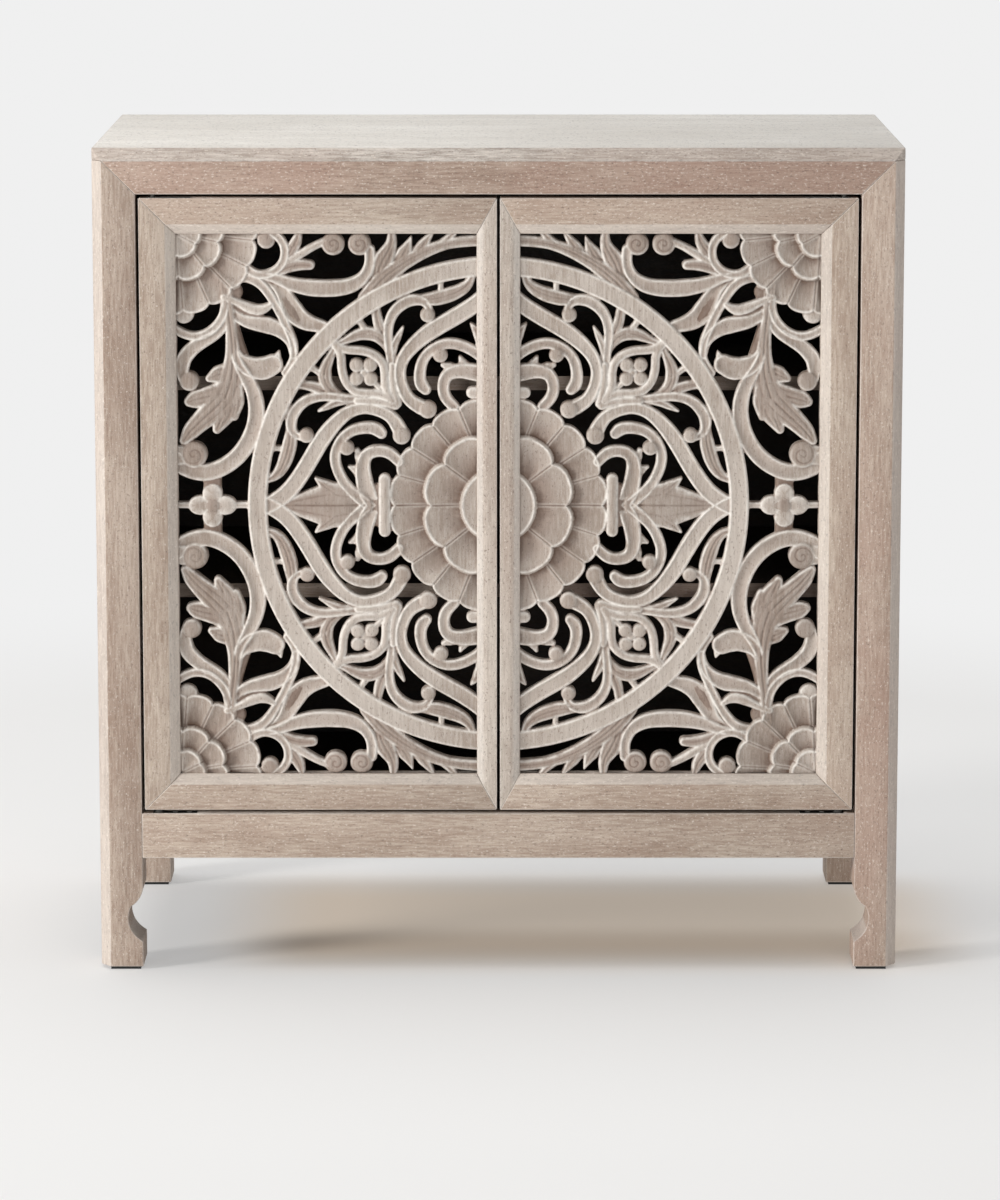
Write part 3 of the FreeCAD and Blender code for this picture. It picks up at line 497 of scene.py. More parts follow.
def merged_copy(name):
    """An editable copy of a CAD node's mesh, its loose triangles joined."""
    shape = bmesh.new()
    shape.from_mesh(nodes[name].data)
    bmesh.ops.remove_doubles(shape, verts=shape.verts, dist=MERGE)
    return shape


def on_outside(edge):
    """True if the edge lies on the front or an outer side of the cabinet."""
    front = cad_box[0].y + MM
    side = cad_box[1].x - MM
    ends = [vertex.co for vertex in edge.verts]
    return all(end.y < front for end in ends) or all(abs(end.x) > side for end in ends)


def eased_mesh(name):
    shape = merged_copy(name)
    bmesh.ops.dissolve_limit(shape, angle_limit=FLAT, verts=shape.verts, edges=shape.edges)
    edges = [edge for edge in shape.edges if len(edge.link_faces) == 2 and edge.is_convex
             and edge.calc_face_angle() > SHARP and (edge.calc_length() > LONG_EDGE or on_outside(edge))]
    bmesh.ops.bevel(shape, geom=edges, offset=EASE, segments=2, profile=0.5, affect="EDGES",
                    clamp_overlap=False)
    bmesh.ops.triangulate(shape, faces=[face for face in shape.faces if len(face.verts) > 4])
    bmesh.ops.recalc_face_normals(shape, faces=shape.faces)
    mesh = bpy.data.meshes.new(name + "_board")
    shape.to_mesh(mesh)
    shape.free()
    mesh.shade_smooth()
    mesh.set_sharp_from_angle(angle=SMOOTH_BELOW)
    return mesh


print("edges longer than", LONG_EDGE / MM, "mm will be eased by", round(EASE / MM, 1), "mm")

# %% [markdown]
# A dressed piece takes the place of its CAD node: it rides on the same body. The name of a board says which
# way its grain runs and whether it has a tone of its own.

# %% Boards with eased edges
UPRIGHT = ("post", "stile", "side_panel")
# The top rail's own wood has its tones darkened as painted shade.
OWN_WOOD = {"top_panel": "top", "front_top_rail": "rail", "front_apron_rail": "door_level"}


def in_scene(name, data):
    made = bpy.data.objects.new(name, data)
    bpy.context.scene.collection.objects.link(made)
    return made


def finish_piece(name, mesh, material, replaced):
    mesh.materials.clear()
    mesh.materials.append(material)
    piece = in_scene(name, mesh)
    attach(piece, body_of[replaced])
    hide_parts(replaced)
    return piece


def wood_of(name):
    if name in OWN_WOOD:
        return limed_woods[OWN_WOOD[name]]
    if name.endswith("meeting_stile"):
        return limed_woods["pale"]
    direction = "upright" if any(word in name for word in UPRIGHT) else "level"
    return limed_woods["door_" + direction if "_door_" in name else direction]


boards = [finish_piece(name + "_board", eased_mesh(name), wood_of(name), name)
          for name, slot in slot_of.items() if slot == "limed_wood"]
print("eased", len(boards), "boards")

# %% [markdown]
# ## The carving, drawn flat
# The carver drew the pattern on the board, sawed out the openings and then cut the relief. The drawing is
# kept the same way: each stroke is a centre line with a width at each of its points, in millimetres from
# the middle of the doors, and says how it is cut. The medallion has eight like parts, so only one of them
# is drawn.

# %% Strokes of the medallion
# Centre line, widths, profile, height of its surface above the panel's back
MEDALLION_STROKES = [
    # Pointed band round each lobe, and its rolled end
    ([(235, -3), (213, 10), (197, 29), (186, 47), (174, 67), (161, 83), (147, 94), (133, 97.5), (119, 95),
      (106, 88), (98, 76)], [17, 17, 17, 17, 17, 15, 13, 12, 12, 13, 15], "rimmed", 11.8),
    # Frame round the small flower on the diagonal, and the flower's stem
    ([(165, 165), (152, 156.5), (138, 155), (124, 151), (115, 142.5), (112.5, 130), (112, 119), (105, 105)],
     [9] * 8, "round", 11.2),
    ([(133, 133), (120, 120), (106, 106)], [9, 6, 6], "round", 9.5),
    ([(105, 140), (104.5, 122), (100, 102)], [8, 9, 9], "round", 10.6),
    # Tendril between the band and the ring, with its leaves
    ([(106, 136), (108, 157), (109, 175), (104.5, 191), (95, 201), (83, 205.5), (73, 203), (68, 196)],
     [8, 9, 10, 11, 12, 12, 9, 7], "hollow", 11.0),
    ([(80, 206), (62, 207), (47, 211), (34, 217.5), (27, 226), (25, 235)], [9, 15, 15, 12, 8, 6],
     "veined", 10.8),
    ([(57, 210), (57, 228)], [6, 6], "round", 9.0),
    ([(105, 140), (104, 157), (99, 169), (94.5, 178)], [6, 9, 7, 3], "veined", 10.0),
    ([(110, 157), (117, 167), (130, 172), (143, 169), (154, 164), (164, 161)], [8, 12, 14, 11, 7, 5],
     "veined", 10.4),
    ([(128, 171), (134, 179), (140, 189)], [9, 7, 6], "round", 9.4),
    ([(110, 164), (117, 178), (120.5, 192), (121, 202)], [8, 12, 10, 7], "veined", 9.8),
    # Outer and inner scrolls of the lily in each lobe
    ([(126, -3), (140, 9), (151, 20), (159, 34), (162, 49), (157.5, 63), (148, 73), (134, 77.5),
      (120, 75.5), (116, 72)], [12, 12, 11, 11, 11, 11, 11, 12, 13, 11], "hollow", 11.2),
    ([(122, -3), (130, 12), (133.5, 26), (134.5, 38), (130.5, 50), (119, 54.5), (108, 52), (99, 44)],
     [12, 18, 17, 15, 13, 12, 12, 11], "hollow", 10.8),
    ([(134, 42), (138, 48), (140, 55)], [12, 10, 5], "round", 7.2),
    ([(136, 30), (142, 35), (148, 38)], [12, 9, 4], "round", 7.2),
    ([(113, -26), (113, 26)], [12, 12], "round", 11.6),
    ([(120, -18), (120, 18)], [8, 8], "ground", 8.6),
    ([(107, -23), (107, 23)], [6, 6], "ground", 8.6),
    # Leaf that points to the tip of the lobe
    ([(138, 0), (165, 0), (190, 0), (204, 0), (213, 0)], [26, 46, 28, 15, 4], "veined", 10.4),
    ([(152, 6), (169, 17), (181.5, 27)], [16, 15, 3], "veined", 10.4),
]
# Middle, radius, height of the top, how brown
MEDALLION_BALLS = [(96, 70, 9, 13.8, 0.25), (70, 190.5, 7.5, 13.4, 0.3), (150.5, 57.5, 7.5, 13.4, 0.3),
                   (126.5, 126.5, 7.2, 12.6, 0.1), (140.5, 140.5, 7.2, 12.6, 0.1),
                   (127, 140.5, 7.2, 12.6, 0.1)]
print("drawn", len(MEDALLION_STROKES), "strokes and", len(MEDALLION_BALLS), "balls of the medallion")

# %% [markdown]
# Outside the ring each corner has a stem with leaves, scrolls that coil at the frame, and half of a small
# flower at the side. One corner is drawn, and the other three are its mirror images. Thin ground ties the
# parts together where nothing else does, as the carver leaves it for strength.

# %% Strokes of a corner
CORNER_STROKES = [
    # Small scroll under the top edge, and the scroll that runs along it
    ([(251, 239), (238, 231), (224, 232.5), (214, 241), (210.5, 252), (213, 263), (223, 273)], [9] * 7,
     "hollow", 11.8),
    ([(240, 230), (222, 227.5), (205, 221.5), (185, 217.5), (162, 217), (144, 220.5), (132.5, 229),
      (127, 241), (127, 255)], [7, 10, 14, 17, 17, 15, 12, 11, 11], "hollow", 11.4),
    ([(226, 231), (212, 236), (198, 240), (186, 240)], [7, 11, 12, 10], "veined", 10.2),
    ([(212, 240), (207, 251), (200, 262), (196.5, 274)], [8, 14, 12, 6], "veined", 10.4),
    ([(208, 243), (195, 251), (181, 259), (166, 265)], [8, 9, 8, 8], "round", 10.0),
    # Long leaf over the ring with its three teeth
    ([(131, 207), (115, 225), (96, 240), (75, 252), (50, 261), (18, 264.5)], [16, 18, 15, 13, 11, 12],
     "veined", 11.0),
    ([(121, 226), (113, 246), (106, 260), (105.5, 275)], [10, 20, 12, 7], "veined", 10.4),
    ([(102, 240), (93, 252), (86, 268)], [12, 15, 2], "veined", 10.4),
    ([(84, 248), (75, 259), (65, 273)], [12, 12, 4], "veined", 10.4),
    ([(62, 257), (52, 264), (42, 275)], [10, 9, 7], "veined", 10.4),
    # Scrolls down the outer side
    ([(270, 208), (271.5, 192), (279.5, 179), (291, 171), (304, 169.5), (321, 177)], [9] * 6,
     "hollow", 11.8),
    ([(265, 194), (275, 175), (291, 164.5), (305, 154.5), (313, 141), (312, 128)], [8, 10, 13, 15, 16, 12],
     "hollow", 11.2),
    # Stem and large leaf
    ([(268, 222), (267, 200), (264, 175), (262.5, 150), (264, 128), (270, 108)], [14, 12, 12, 16, 24, 30],
     "veined", 10.6),
    ([(266, 135), (277, 131), (286, 127)], [16, 17, 8], "veined", 10.4),
    ([(268, 118), (285, 110), (300, 106), (306, 104)], [20, 20, 18, 11], "veined", 10.5),
    ([(266, 114), (279, 99), (293, 86), (305, 74), (312, 65)], [26, 26, 21, 17, 9], "veined", 11.3),
    ([(266, 106), (272, 92), (279, 76)], [24, 23, 9], "veined", 10.8),
    ([(261, 120), (260.5, 104), (262, 89)], [16, 18, 9], "veined", 10.4),
    # Great scroll beside the ring and its coiled end at the frame
    ([(263, 162), (257, 142), (247, 124), (240.5, 105), (240, 88), (245.5, 69), (257, 51), (273, 38.5),
      (291, 33), (308, 37), (322, 46)], [8, 11, 14, 16, 17, 17, 17, 17, 17, 18, 20], "hollow", 11.8),
    ([(302, 51), (322, 50)], [20, 20], "round", 10.4),
    # Ribbons between the corner and the ring
    ([(254, 227), (240, 224.5), (229.5, 215.5), (221, 202), (214, 189), (207.5, 175), (202.5, 160),
      (203, 147), (211, 133)], [8, 10, 10, 9, 9, 9, 9, 8, 8], "hollow", 11.2),
    ([(229, 228), (216, 217), (208, 204), (202.5, 194), (192, 184.5), (174, 179)], [9, 13, 18, 21, 18, 12],
     "hollow", 10.4),
    ([(271, 208), (258, 203), (246, 197.5), (235, 195.5), (224, 201)], [8, 8, 11, 11, 6], "round", 10.6),
    ([(267, 197), (256, 187.5), (243, 182.5), (228, 180), (214, 173.5), (205.5, 163), (202.5, 150)],
     [8, 11, 14, 17, 14, 10, 8], "hollow", 10.9),
    ([(262, 162), (256, 146), (246, 139), (233, 137), (223, 141)], [8, 14, 20, 23, 20], "hollow", 11.6),
    ([(225, 138), (219, 148), (217, 154)], [12, 8, 2], "hollow", 11.0),
    # Ground between the ribbons
    ([(224, 219), (214, 207), (206, 194), (199, 184)], [14, 14, 14, 11], "ground", 7.6),
    ([(264, 199), (250, 192), (236, 189)], [9, 9, 8], "ground", 7.6),
    ([(255, 237), (244, 229)], [8, 8], "ground", 7.6),
    ([(261, 182), (257, 165), (252, 150)], [8, 9, 9], "ground", 7.6),
    ([(311, 193), (311, 192)], [21, 21], "round", 8.6),
    ([(262, 214), (261, 213)], [17, 17], "ground", 7.8),
    ([(126, 227), (126, 226)], [10, 10], "ground", 7.8),
    # Petals of the side flower
    ([(284, 11), (284, 12)], [20, 20], "round", 11.4),
    ([(297, 0), (299, 0)], [20, 18], "round", 11.4),
    ([(271, 0), (269, 0)], [20, 18], "round", 11.4),
    # Bars that tie the side flower to the frame, the ring and the great scroll
    ([(292, 0), (322, 0)], [7, 7], "round", 9.0),
    ([(244, 0), (272, 0)], [7, 7], "round", 9.0),
    ([(284, 8), (284, 28)], [18, 18], "ground", 9.0),
]
CORNER_BALLS = [(229, 265, 9, 12.4, 0.5), (137, 261, 11.5, 12.6, 0.45), (163, 261, 11.5, 12.6, 0.45),
                (306, 124.5, 10, 13.2, 0.5), (302, 51, 13.5, 13.4, 0.45), (284, 0, 7.5, 13.8, 0.5)]
print("drawn", len(CORNER_STROKES), "strokes and", len(CORNER_BALLS), "balls of a corner")

# %% [markdown]
# ## Cutting the relief
# The strokes could each be a mesh, but hundreds of crossings would then need joining. A height on a fine
# grid is simpler: every stroke is cut into it, and where strokes cross, the higher one stays, as it does
# under the knife. The two doors are mirror images, and so are their halves, so the grid covers one
# quarter.

# %% Grid of one quarter
def in_mm(length):
    """A length of the frame in millimetres, to the hundredth."""
    return round(length / MM, 2)


GRID, LAP, FAR = 0.75, 0.4, -20.0
panel_low, panel_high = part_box("right_door_carved_panel")
PANEL_BACK = in_mm(panel_high.y)
FULL_HEIGHT = in_mm(panel_high.y - panel_low.y)
DOOR_MIDDLE = in_mm((panel_low.z + panel_high.z) / 2)
SIGHT_INNER = in_mm(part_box("right_door_meeting_stile")[1].x)
SIGHT_OUTER = in_mm(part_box("right_door_hinge_stile")[0].x)
SIGHT_TOP = in_mm(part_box("right_door_top_rail")[0].z) - DOOR_MIDDLE

across = np.arange(SIGHT_INNER - LAP, SIGHT_OUTER + LAP + GRID, GRID)
upward = np.arange(0, SIGHT_TOP + LAP + GRID, GRID)
grid_u, grid_v = np.meshgrid(across, upward, indexing="ij")
WHOLE_GRID = (slice(None), slice(None))
inside_by = np.full(grid_u.shape, FAR)
relief = np.full(grid_u.shape, FAR)
rim_highlight_value = np.zeros(grid_u.shape)
brown_and_shade_value = np.zeros(grid_u.shape)
print("grid of", grid_u.shape, "points,", GRID, "mm apart")

# %% [markdown]
# A hand draws a stroke in one sweep, so its few points need a smooth curve through them. A cubic spline
# bends as little as it can, like the thin lath that draughtsmen bend round pins. Blender's curves could
# do it, but the distance to the line is needed here, and that is easier from numbers.

# %% Smooth centre lines
LINE_STEP = 2.5


def spline_bends(points, knots, gaps):
    """How much the curve bends at each drawn point; its ends are straight."""
    count = len(knots)
    system = np.eye(count)
    sides = np.zeros((count, 2))
    for i in range(1, count - 1):
        system[i, i - 1:i + 2] = gaps[i - 1], 2 * (gaps[i - 1] + gaps[i]), gaps[i]
        sides[i] = 6 * ((points[i + 1] - points[i]) / gaps[i] - (points[i] - points[i - 1]) / gaps[i - 1])
    return np.linalg.solve(system, sides)


def smooth_line(points, widths):
    """Close points on a smooth curve through the drawn ones, with the half width at each."""
    points, half = np.array(points, float), np.array(widths, float) / 2
    knots = np.concatenate([[0], np.cumsum(np.linalg.norm(np.diff(points, axis=0), axis=1))])
    steps = np.linspace(0, knots[-1], max(3, int(knots[-1] / LINE_STEP) + 2))
    if len(knots) == 2:
        line = np.column_stack([np.interp(steps, knots, points[:, axis]) for axis in (0, 1)])
        return line, np.interp(steps, knots, half)
    gaps = np.diff(knots)
    bend = spline_bends(points, knots, gaps)
    span = np.clip(np.searchsorted(knots, steps, side="right") - 1, 0, len(knots) - 2)
    gap = gaps[span][:, None]
    before, after = (steps - knots[span])[:, None], (knots[span + 1] - steps)[:, None]
    line = (bend[span] * after ** 3 + bend[span + 1] * before ** 3) / (6 * gap)
    line += (points[span] / gap - bend[span] * gap / 6) * after
    line += (points[span + 1] / gap - bend[span + 1] * gap / 6) * before
    return line, np.interp(steps, knots, half)


print("a centre line has a point every", LINE_STEP, "mm")

# %% [markdown]
# A gouge leaves a few kinds of surface: a band with raised rims, a hollow between two lips, a round rib,
# a leaf with veins, and plain ground. The height of each follows from the distance inside its edge, in
# millimetres.

# %% Profiles of the gouge
EDGE_DROP, EDGE_WIDTH, EDGE_SHARE, EDGE_CURVE = 3.2, 1.3, 0.4, 1.6
BAND_RIM, BAND_STEP, BAND_DEPTH, RING_DEPTH = 2.4, 0.9, 1.1, 0.5
LIP, LIP_SHARE, HOLLOW_DEPTH, HOLLOW_SHARE = 1.9, 0.34, 1.1, 0.26
LEAF_RISE, MIDDLE_VEIN, VEIN_REACH = 1.1, 1.6, 1.3
SIDE_VEIN, SIDE_REACH, SIDE_PLACE, SIDE_FROM = 1.0, 1.0, 0.5, 6
RIB_RISE = 1.4


def edge_fall(inner, width=EDGE_WIDTH):
    """Fall of the surface towards an edge, from the distance inside it."""
    return -EDGE_DROP * (1 - np.clip(inner / width, 0, 1)) ** EDGE_CURVE


def cut_line(distance, reach):
    """A V cut: 1 on the line, 0 at its reach."""
    return np.clip(1 - np.abs(distance) / reach, 0, 1)


def behind_rims(inner, depth):
    """The sunk middle of a band with raised rims."""
    return depth * np.clip((inner - BAND_RIM) / BAND_STEP, 0, 1)


def profile(kind, inner, half):
    """Height over a stroke's own level, from the distance inside its edge and its half width."""
    off = half - inner
    near = np.clip(inner / half, 0, 1)
    fall = edge_fall(inner, np.minimum(EDGE_WIDTH, EDGE_SHARE * half))
    if kind == "rimmed":
        return fall - behind_rims(inner, BAND_DEPTH)
    if kind == "hollow":
        lip = np.minimum(LIP, LIP_SHARE * half)
        to_middle = np.clip((inner - lip) / (half - lip), 0, 1)
        return fall - np.maximum(HOLLOW_DEPTH, HOLLOW_SHARE * half) * (1 - (1 - to_middle) ** 2)
    if kind == "veined":
        side_veins = cut_line(off - SIDE_PLACE * half, SIDE_REACH) * np.clip(half - SIDE_FROM, 0, 1)
        return fall + LEAF_RISE * near - MIDDLE_VEIN * cut_line(off, VEIN_REACH) - SIDE_VEIN * side_veins
    return fall + RIB_RISE * near


print("a hollow", 2 * LIP, "mm wide is", -round(float(profile("hollow", LIP, LIP)), 2), "mm deep")

# %% [markdown]
# Each stroke is cut into the part of the grid round it. A point keeps the highest surface that was cut
# there, with that surface's share of pale rim, partly painted highlight, and of brown, partly painted
# shade. Leaves and scrolls dive under what they grow from.

# %% Cutting a stroke
OUTLINE_MARGIN, WINDOW_MARGIN, LEAST_HALF = 1.6, 3, 0.5
RIM_PLACE, RIM_REACH = 1.3, 1.35
ROOT_DIVE, ROOT_LENGTH = 3.0, 13.0
# The brown of each kind is partly dirt and partly painted shade in its recesses.
BROWN_AND_SHADE_SHARE = {"rimmed": 0.02, "hollow": 0.16, "round": 0.12, "veined": 0.46, "ground": 0.8}


def keep(window, inner, height, rim, brown_and_shade):
    """Leave the higher surface standing, with its rim (partly painted highlight) and brown (partly shade).
    """
    height = np.where(inner > -OUTLINE_MARGIN, height, FAR)
    higher = height > relief[window]
    inside_by[window] = np.maximum(inside_by[window], inner)
    for field, value in ((relief, height), (rim_highlight_value, rim), (brown_and_shade_value, brown_and_shade)):
        field[window] = np.where(higher, value, field[window])


def window_round(low, high):
    """The part of the grid between two corners."""
    parts = []
    for axis, lines in enumerate((across, upward)):
        first, last = [(end[axis] - lines[0]) / GRID for end in (low, high)]
        parts.append(slice(*(int(np.clip(place, 0, len(lines))) for place in (first, last + 2))))
    return tuple(parts)


def cut_stroke(points, widths, kind, level):
    line, half = smooth_line(points, widths)
    margin = half.max() + WINDOW_MARGIN
    window = window_round(line.min(0) - margin, line.max(0) + margin)
    u, v = grid_u[window], grid_v[window]
    if not u.size:
        return
    best, best_half = np.full(u.shape, FAR), np.ones(u.shape)
    for i in range(len(line) - 1):
        step = line[i + 1] - line[i]
        along = np.clip(((u - line[i, 0]) * step[0] + (v - line[i, 1]) * step[1]) / (step @ step), 0, 1)
        width = half[i] + (half[i + 1] - half[i]) * along
        inner = width - np.hypot(u - line[i, 0] - along * step[0], v - line[i, 1] - along * step[1])
        nearer = inner > best
        best, best_half = np.where(nearer, inner, best), np.where(nearer, width, best_half)
    rim = cut_line(best - RIM_PLACE, RIM_REACH) * (kind != "ground")
    if kind in ("veined", "hollow") and len(points) > 2:
        root = np.clip(1 - np.hypot(u - line[0, 0], v - line[0, 1]) / ROOT_LENGTH, 0, 1)
        level = level - ROOT_DIVE * root
        rim = rim * (1 - root)
    height = level + profile(kind, best, np.maximum(best_half, LEAST_HALF))
    keep(window, best, height, rim, BROWN_AND_SHADE_SHARE[kind])


print("strokes of", len(BROWN_AND_SHADE_SHARE), "kinds can be cut")

# %% [markdown]
# Scrolls end in small balls. The large ones have a coiled line cut into them, like a snail, and a painted
# highlight lies on the side that faces the middle of the doors.

# %% Cutting a ball
BALL_RISE, COIL_PITCH, SMALLEST_COIL = 2.6, 0.5, 11.3
COIL_DEPTH, COIL_REACH, COIL_BROWN_AND_SHADE = 0.9, 1.1, 0.3
HIGHLIGHT_SIDE_BASE, HIGHLIGHT_SIDE_FADE = 0.4, 0.5


def cut_ball(centre_u, centre_v, radius, top, brown_and_shade):
    """A low brown dome with a coiled line cut into it."""
    reach = radius + WINDOW_MARGIN
    window = window_round((centre_u - reach, centre_v - reach), (centre_u + reach, centre_v + reach))
    off_u, off_v = grid_u[window] - centre_u, grid_v[window] - centre_v
    if not off_u.size:
        return
    away = np.hypot(off_u, off_v)
    inner = radius - away
    turns = np.arctan2(off_v, off_u) / math.tau
    to_coil = ((away / (COIL_PITCH * radius) - turns) % 1 - 0.5) * COIL_PITCH * radius
    coil = cut_line(to_coil, COIL_REACH) * (np.clip(inner / 2 - 0.5, 0, 1) * (radius > SMALLEST_COIL))
    dome = BALL_RISE * (np.sqrt(np.clip(1 - (away / radius) ** 2, 0, 1)) - 1)
    height = top + dome + edge_fall(inner) - COIL_DEPTH * coil
    # A painted highlight on the side of the ball that faces the middle.
    lit = np.clip(HIGHLIGHT_SIDE_BASE - HIGHLIGHT_SIDE_FADE * off_v / radius, 0, 1)
    keep(window, inner, height, lit * cut_line(inner - RIM_PLACE, RIM_REACH), brown_and_shade + COIL_BROWN_AND_SHADE * coil)


print("balls from a radius of", SMALLEST_COIL, "mm get a coil")

# %% [markdown]
# The rosettes are rings of petals. A petal is scalloped outside, has a lip, sinks to the middle and is
# parted from its neighbours by a cut. All of that goes by the angle round the middle, so no petal is
# drawn by itself.

# %% Cutting petals and the ring
PETAL_LIP, PETAL_LIP_PLACE, PETAL_LIP_REACH = 0.8, 1.9, 1.5
SEAM_DEPTH, SEAM_REACH, BANK, BANK_PLACE, BANK_REACH = 1.8, 1.0, 0.5, 1.6, 1.0
DISH = 2.3
PETAL_RIM_PLACE, PETAL_RIM_REACH, BANK_RIM, BANK_RIM_PLACE, SEAM_EDGE = 1.5, 1.4, 0.3, 1.3, 0.9
# Brown at petal bases, in seams and coils is partly dirt and partly painted shade in the creases.
PETAL_BROWN, BASE_BROWN_AND_SHADE, SEAM_BROWN_AND_SHADE = 0.12, 0.8, 0.6


def cut_petals(centre_u, centre_v, radius, length, pitch, turn, level, scallop, sink):
    away = np.hypot(grid_u - centre_u, grid_v - centre_v)
    angle = np.degrees(np.arctan2(grid_v - centre_v, grid_u - centre_u)) - turn
    off = np.abs((angle / pitch) % 1 - 0.5) * 2
    inner = radius - scallop * off ** 3 - away
    seam = np.radians((1 - off) * pitch / 2) * away
    to_base = np.clip(inner / length, 0, 1)
    height = level + edge_fall(inner) + PETAL_LIP * cut_line(inner - PETAL_LIP_PLACE, PETAL_LIP_REACH)
    height += (BANK * cut_line(seam - BANK_PLACE, BANK_REACH) - SEAM_DEPTH * cut_line(seam, SEAM_REACH)
               - DISH * (1 - off ** 2) * (inner > 1))
    height -= sink * to_base ** 0.8
    rim = np.maximum(cut_line(inner - PETAL_RIM_PLACE, PETAL_RIM_REACH),
                     BANK_RIM * cut_line(seam - BANK_RIM_PLACE, SEAM_EDGE))
    brown_and_shade = PETAL_BROWN + BASE_BROWN_AND_SHADE * to_base ** 1.5 * (sink > 1) + SEAM_BROWN_AND_SHADE * cut_line(seam, SEAM_EDGE)
    keep(WHOLE_GRID, inner, height, rim, brown_and_shade)


def cut_ring(inner_radius, outer_radius, level):
    half = (outer_radius - inner_radius) / 2
    inner = half - np.abs(np.hypot(grid_u, grid_v) - (inner_radius + outer_radius) / 2)
    height = level + edge_fall(inner) - behind_rims(inner, RING_DEPTH)
    keep(WHOLE_GRID, inner, height, cut_line(inner - RIM_PLACE, RIM_REACH), BROWN_AND_SHADE_SHARE["rimmed"])


print("petals and rings can be cut")

# %% [markdown]
# Now the whole quarter is cut: strokes and balls of the medallion and of the corner, the ring, and the
# petals of the middle and the corner rosettes. Leaves keep their pale rim only at their outline, so it
# doesn't cross them.

# %% Cut the quarter
RING = (229.5, 249.0, 12.6)
# Radius, length, pitch and turn in degrees, level, scallop, sink
MIDDLE_PETALS = [(109, 40, 17, 0, 12.4, 4.5, 4.8), (75.5, 38, 38, 0, 13.9, 7, 4.8),
                 (37, 37, 360, 180, 14.0, 1, 0.8)]
CORNER_PETALS = [(81.5, 36, 20, 5, 12.0, 4, 4.8), (48, 25, 38, 21, 13.7, 4.5, 4.8),
                 (25, 25, 60, 27, 14.0, 2, 0.8)]
LEAF_RIM, LEAF_RIM_FADE = 4.2, 1.5


def turned(points, swap, flip):
    points = [(v, u) if swap else (u, v) for u, v in points]
    return [(u, -v) for u, v in points] if flip else points


def cut_strokes(strokes, swaps):
    for points, *cut in strokes:
        for swap in swaps:
            for flip in (False, True):
                cut_stroke(turned(points, swap, flip), *cut)


cut_strokes(MEDALLION_STROKES, (False, True))
for centre_u, centre_v, *ball in MEDALLION_BALLS:
    cut_ball(centre_u, centre_v, *ball)
    cut_ball(centre_v, centre_u, *ball)
cut_strokes(CORNER_STROKES, (False,))
for ball in CORNER_BALLS:
    cut_ball(*ball)
cut_ring(*RING)
for petals in MIDDLE_PETALS:
    cut_petals(0, 0, *petals)
for petals in CORNER_PETALS:
    cut_petals(SIGHT_OUTER, SIGHT_TOP, *petals)
on_leaf = brown_and_shade_value == BROWN_AND_SHADE_SHARE["veined"]
rim_highlight_value = np.where(on_leaf, rim_highlight_value * np.clip((LEAF_RIM - inside_by) / LEAF_RIM_FADE, 0, 1), rim_highlight_value)
print("cut the relief,", round(100 * float(np.mean(inside_by > 0))), "% of it is wood")

# %% [markdown]
# ## From relief to panel
# The quarter is mirrored into a whole panel. Tools and sandpaper leave no stepped edge, so heights and
# outline are smoothed a little. Where the face lies below its surroundings it is browner, as painted shade
# in the recess.

# %% Face of a whole panel
PIERCED_HEIGHT, LEAST_HEIGHT = 7.0, 4.0
SUNK_REACH, SUNK_FULL, SUNK_SHADE = 4, 1.8, 0.85


def softened(field):
    padded = np.pad(field, 1, mode="edge")
    sides = padded[:-2, 1:-1] + padded[2:, 1:-1] + padded[1:-1, :-2] + padded[1:-1, 2:]
    corners = padded[:-2, :-2] + padded[2:, :-2] + padded[:-2, 2:] + padded[2:, 2:]
    return (4 * field + 2 * sides + corners) / 16


def box_blur(field, reach):
    for axis in (0, 1):
        total = sum(np.roll(field, step, axis) for step in range(-reach, reach + 1))
        field = total / (2 * reach + 1)
    return field


def both_halves(field):
    return np.concatenate([field[:, :0:-1], field], axis=1)


whole_v = np.concatenate([-upward[:0:-1], upward])
depth_in = softened(both_halves(inside_by))
wood = depth_in > 0
whole_relief = both_halves(relief)
face_height = softened(np.where(whole_relief > 0, whole_relief, PIERCED_HEIGHT))
face_height = np.clip(face_height, LEAST_HEIGHT, FULL_HEIGHT)
# Painted shade where the face lies below its surroundings.
sunk_shade = np.clip((box_blur(face_height, SUNK_REACH) - face_height) / SUNK_FULL, 0, 1)
brown_and_shade_share = np.clip(both_halves(brown_and_shade_value) + SUNK_SHADE * sunk_shade, 0, 1)
rim_highlight_share = softened(both_halves(rim_highlight_value))
print("face from", round(face_height[wood].min(), 1), "to", face_height[wood].max(), "mm high")

# %% [markdown]
# The panel is one board per door. The grid cells in the wood become its face, the same cells flat its
# back, and walls close it round every opening. Points just outside the wood slide to the outline, so that
# the openings have smooth edges and not the steps of the grid.

# %% Board from the grid
LEAST_SLOPE, LONGEST_SLIDE = 0.4, 1.3 * GRID

slope_u, slope_v = np.gradient(depth_in, GRID)
steep = np.maximum(np.hypot(slope_u, slope_v), LEAST_SLOPE)
slide = np.where(wood, 0, np.clip(-depth_in / steep, 0, LONGEST_SLIDE)) / steep
point_u = np.clip(across[:, None] + slide * slope_u, SIGHT_INNER - LAP, SIGHT_OUTER + LAP)
point_v = np.clip(whole_v[None, :] + slide * slope_v, -SIGHT_TOP - LAP, SIGHT_TOP + LAP)
cells = wood[:-1, :-1] | wood[1:, :-1] | wood[:-1, 1:] | wood[1:, 1:]


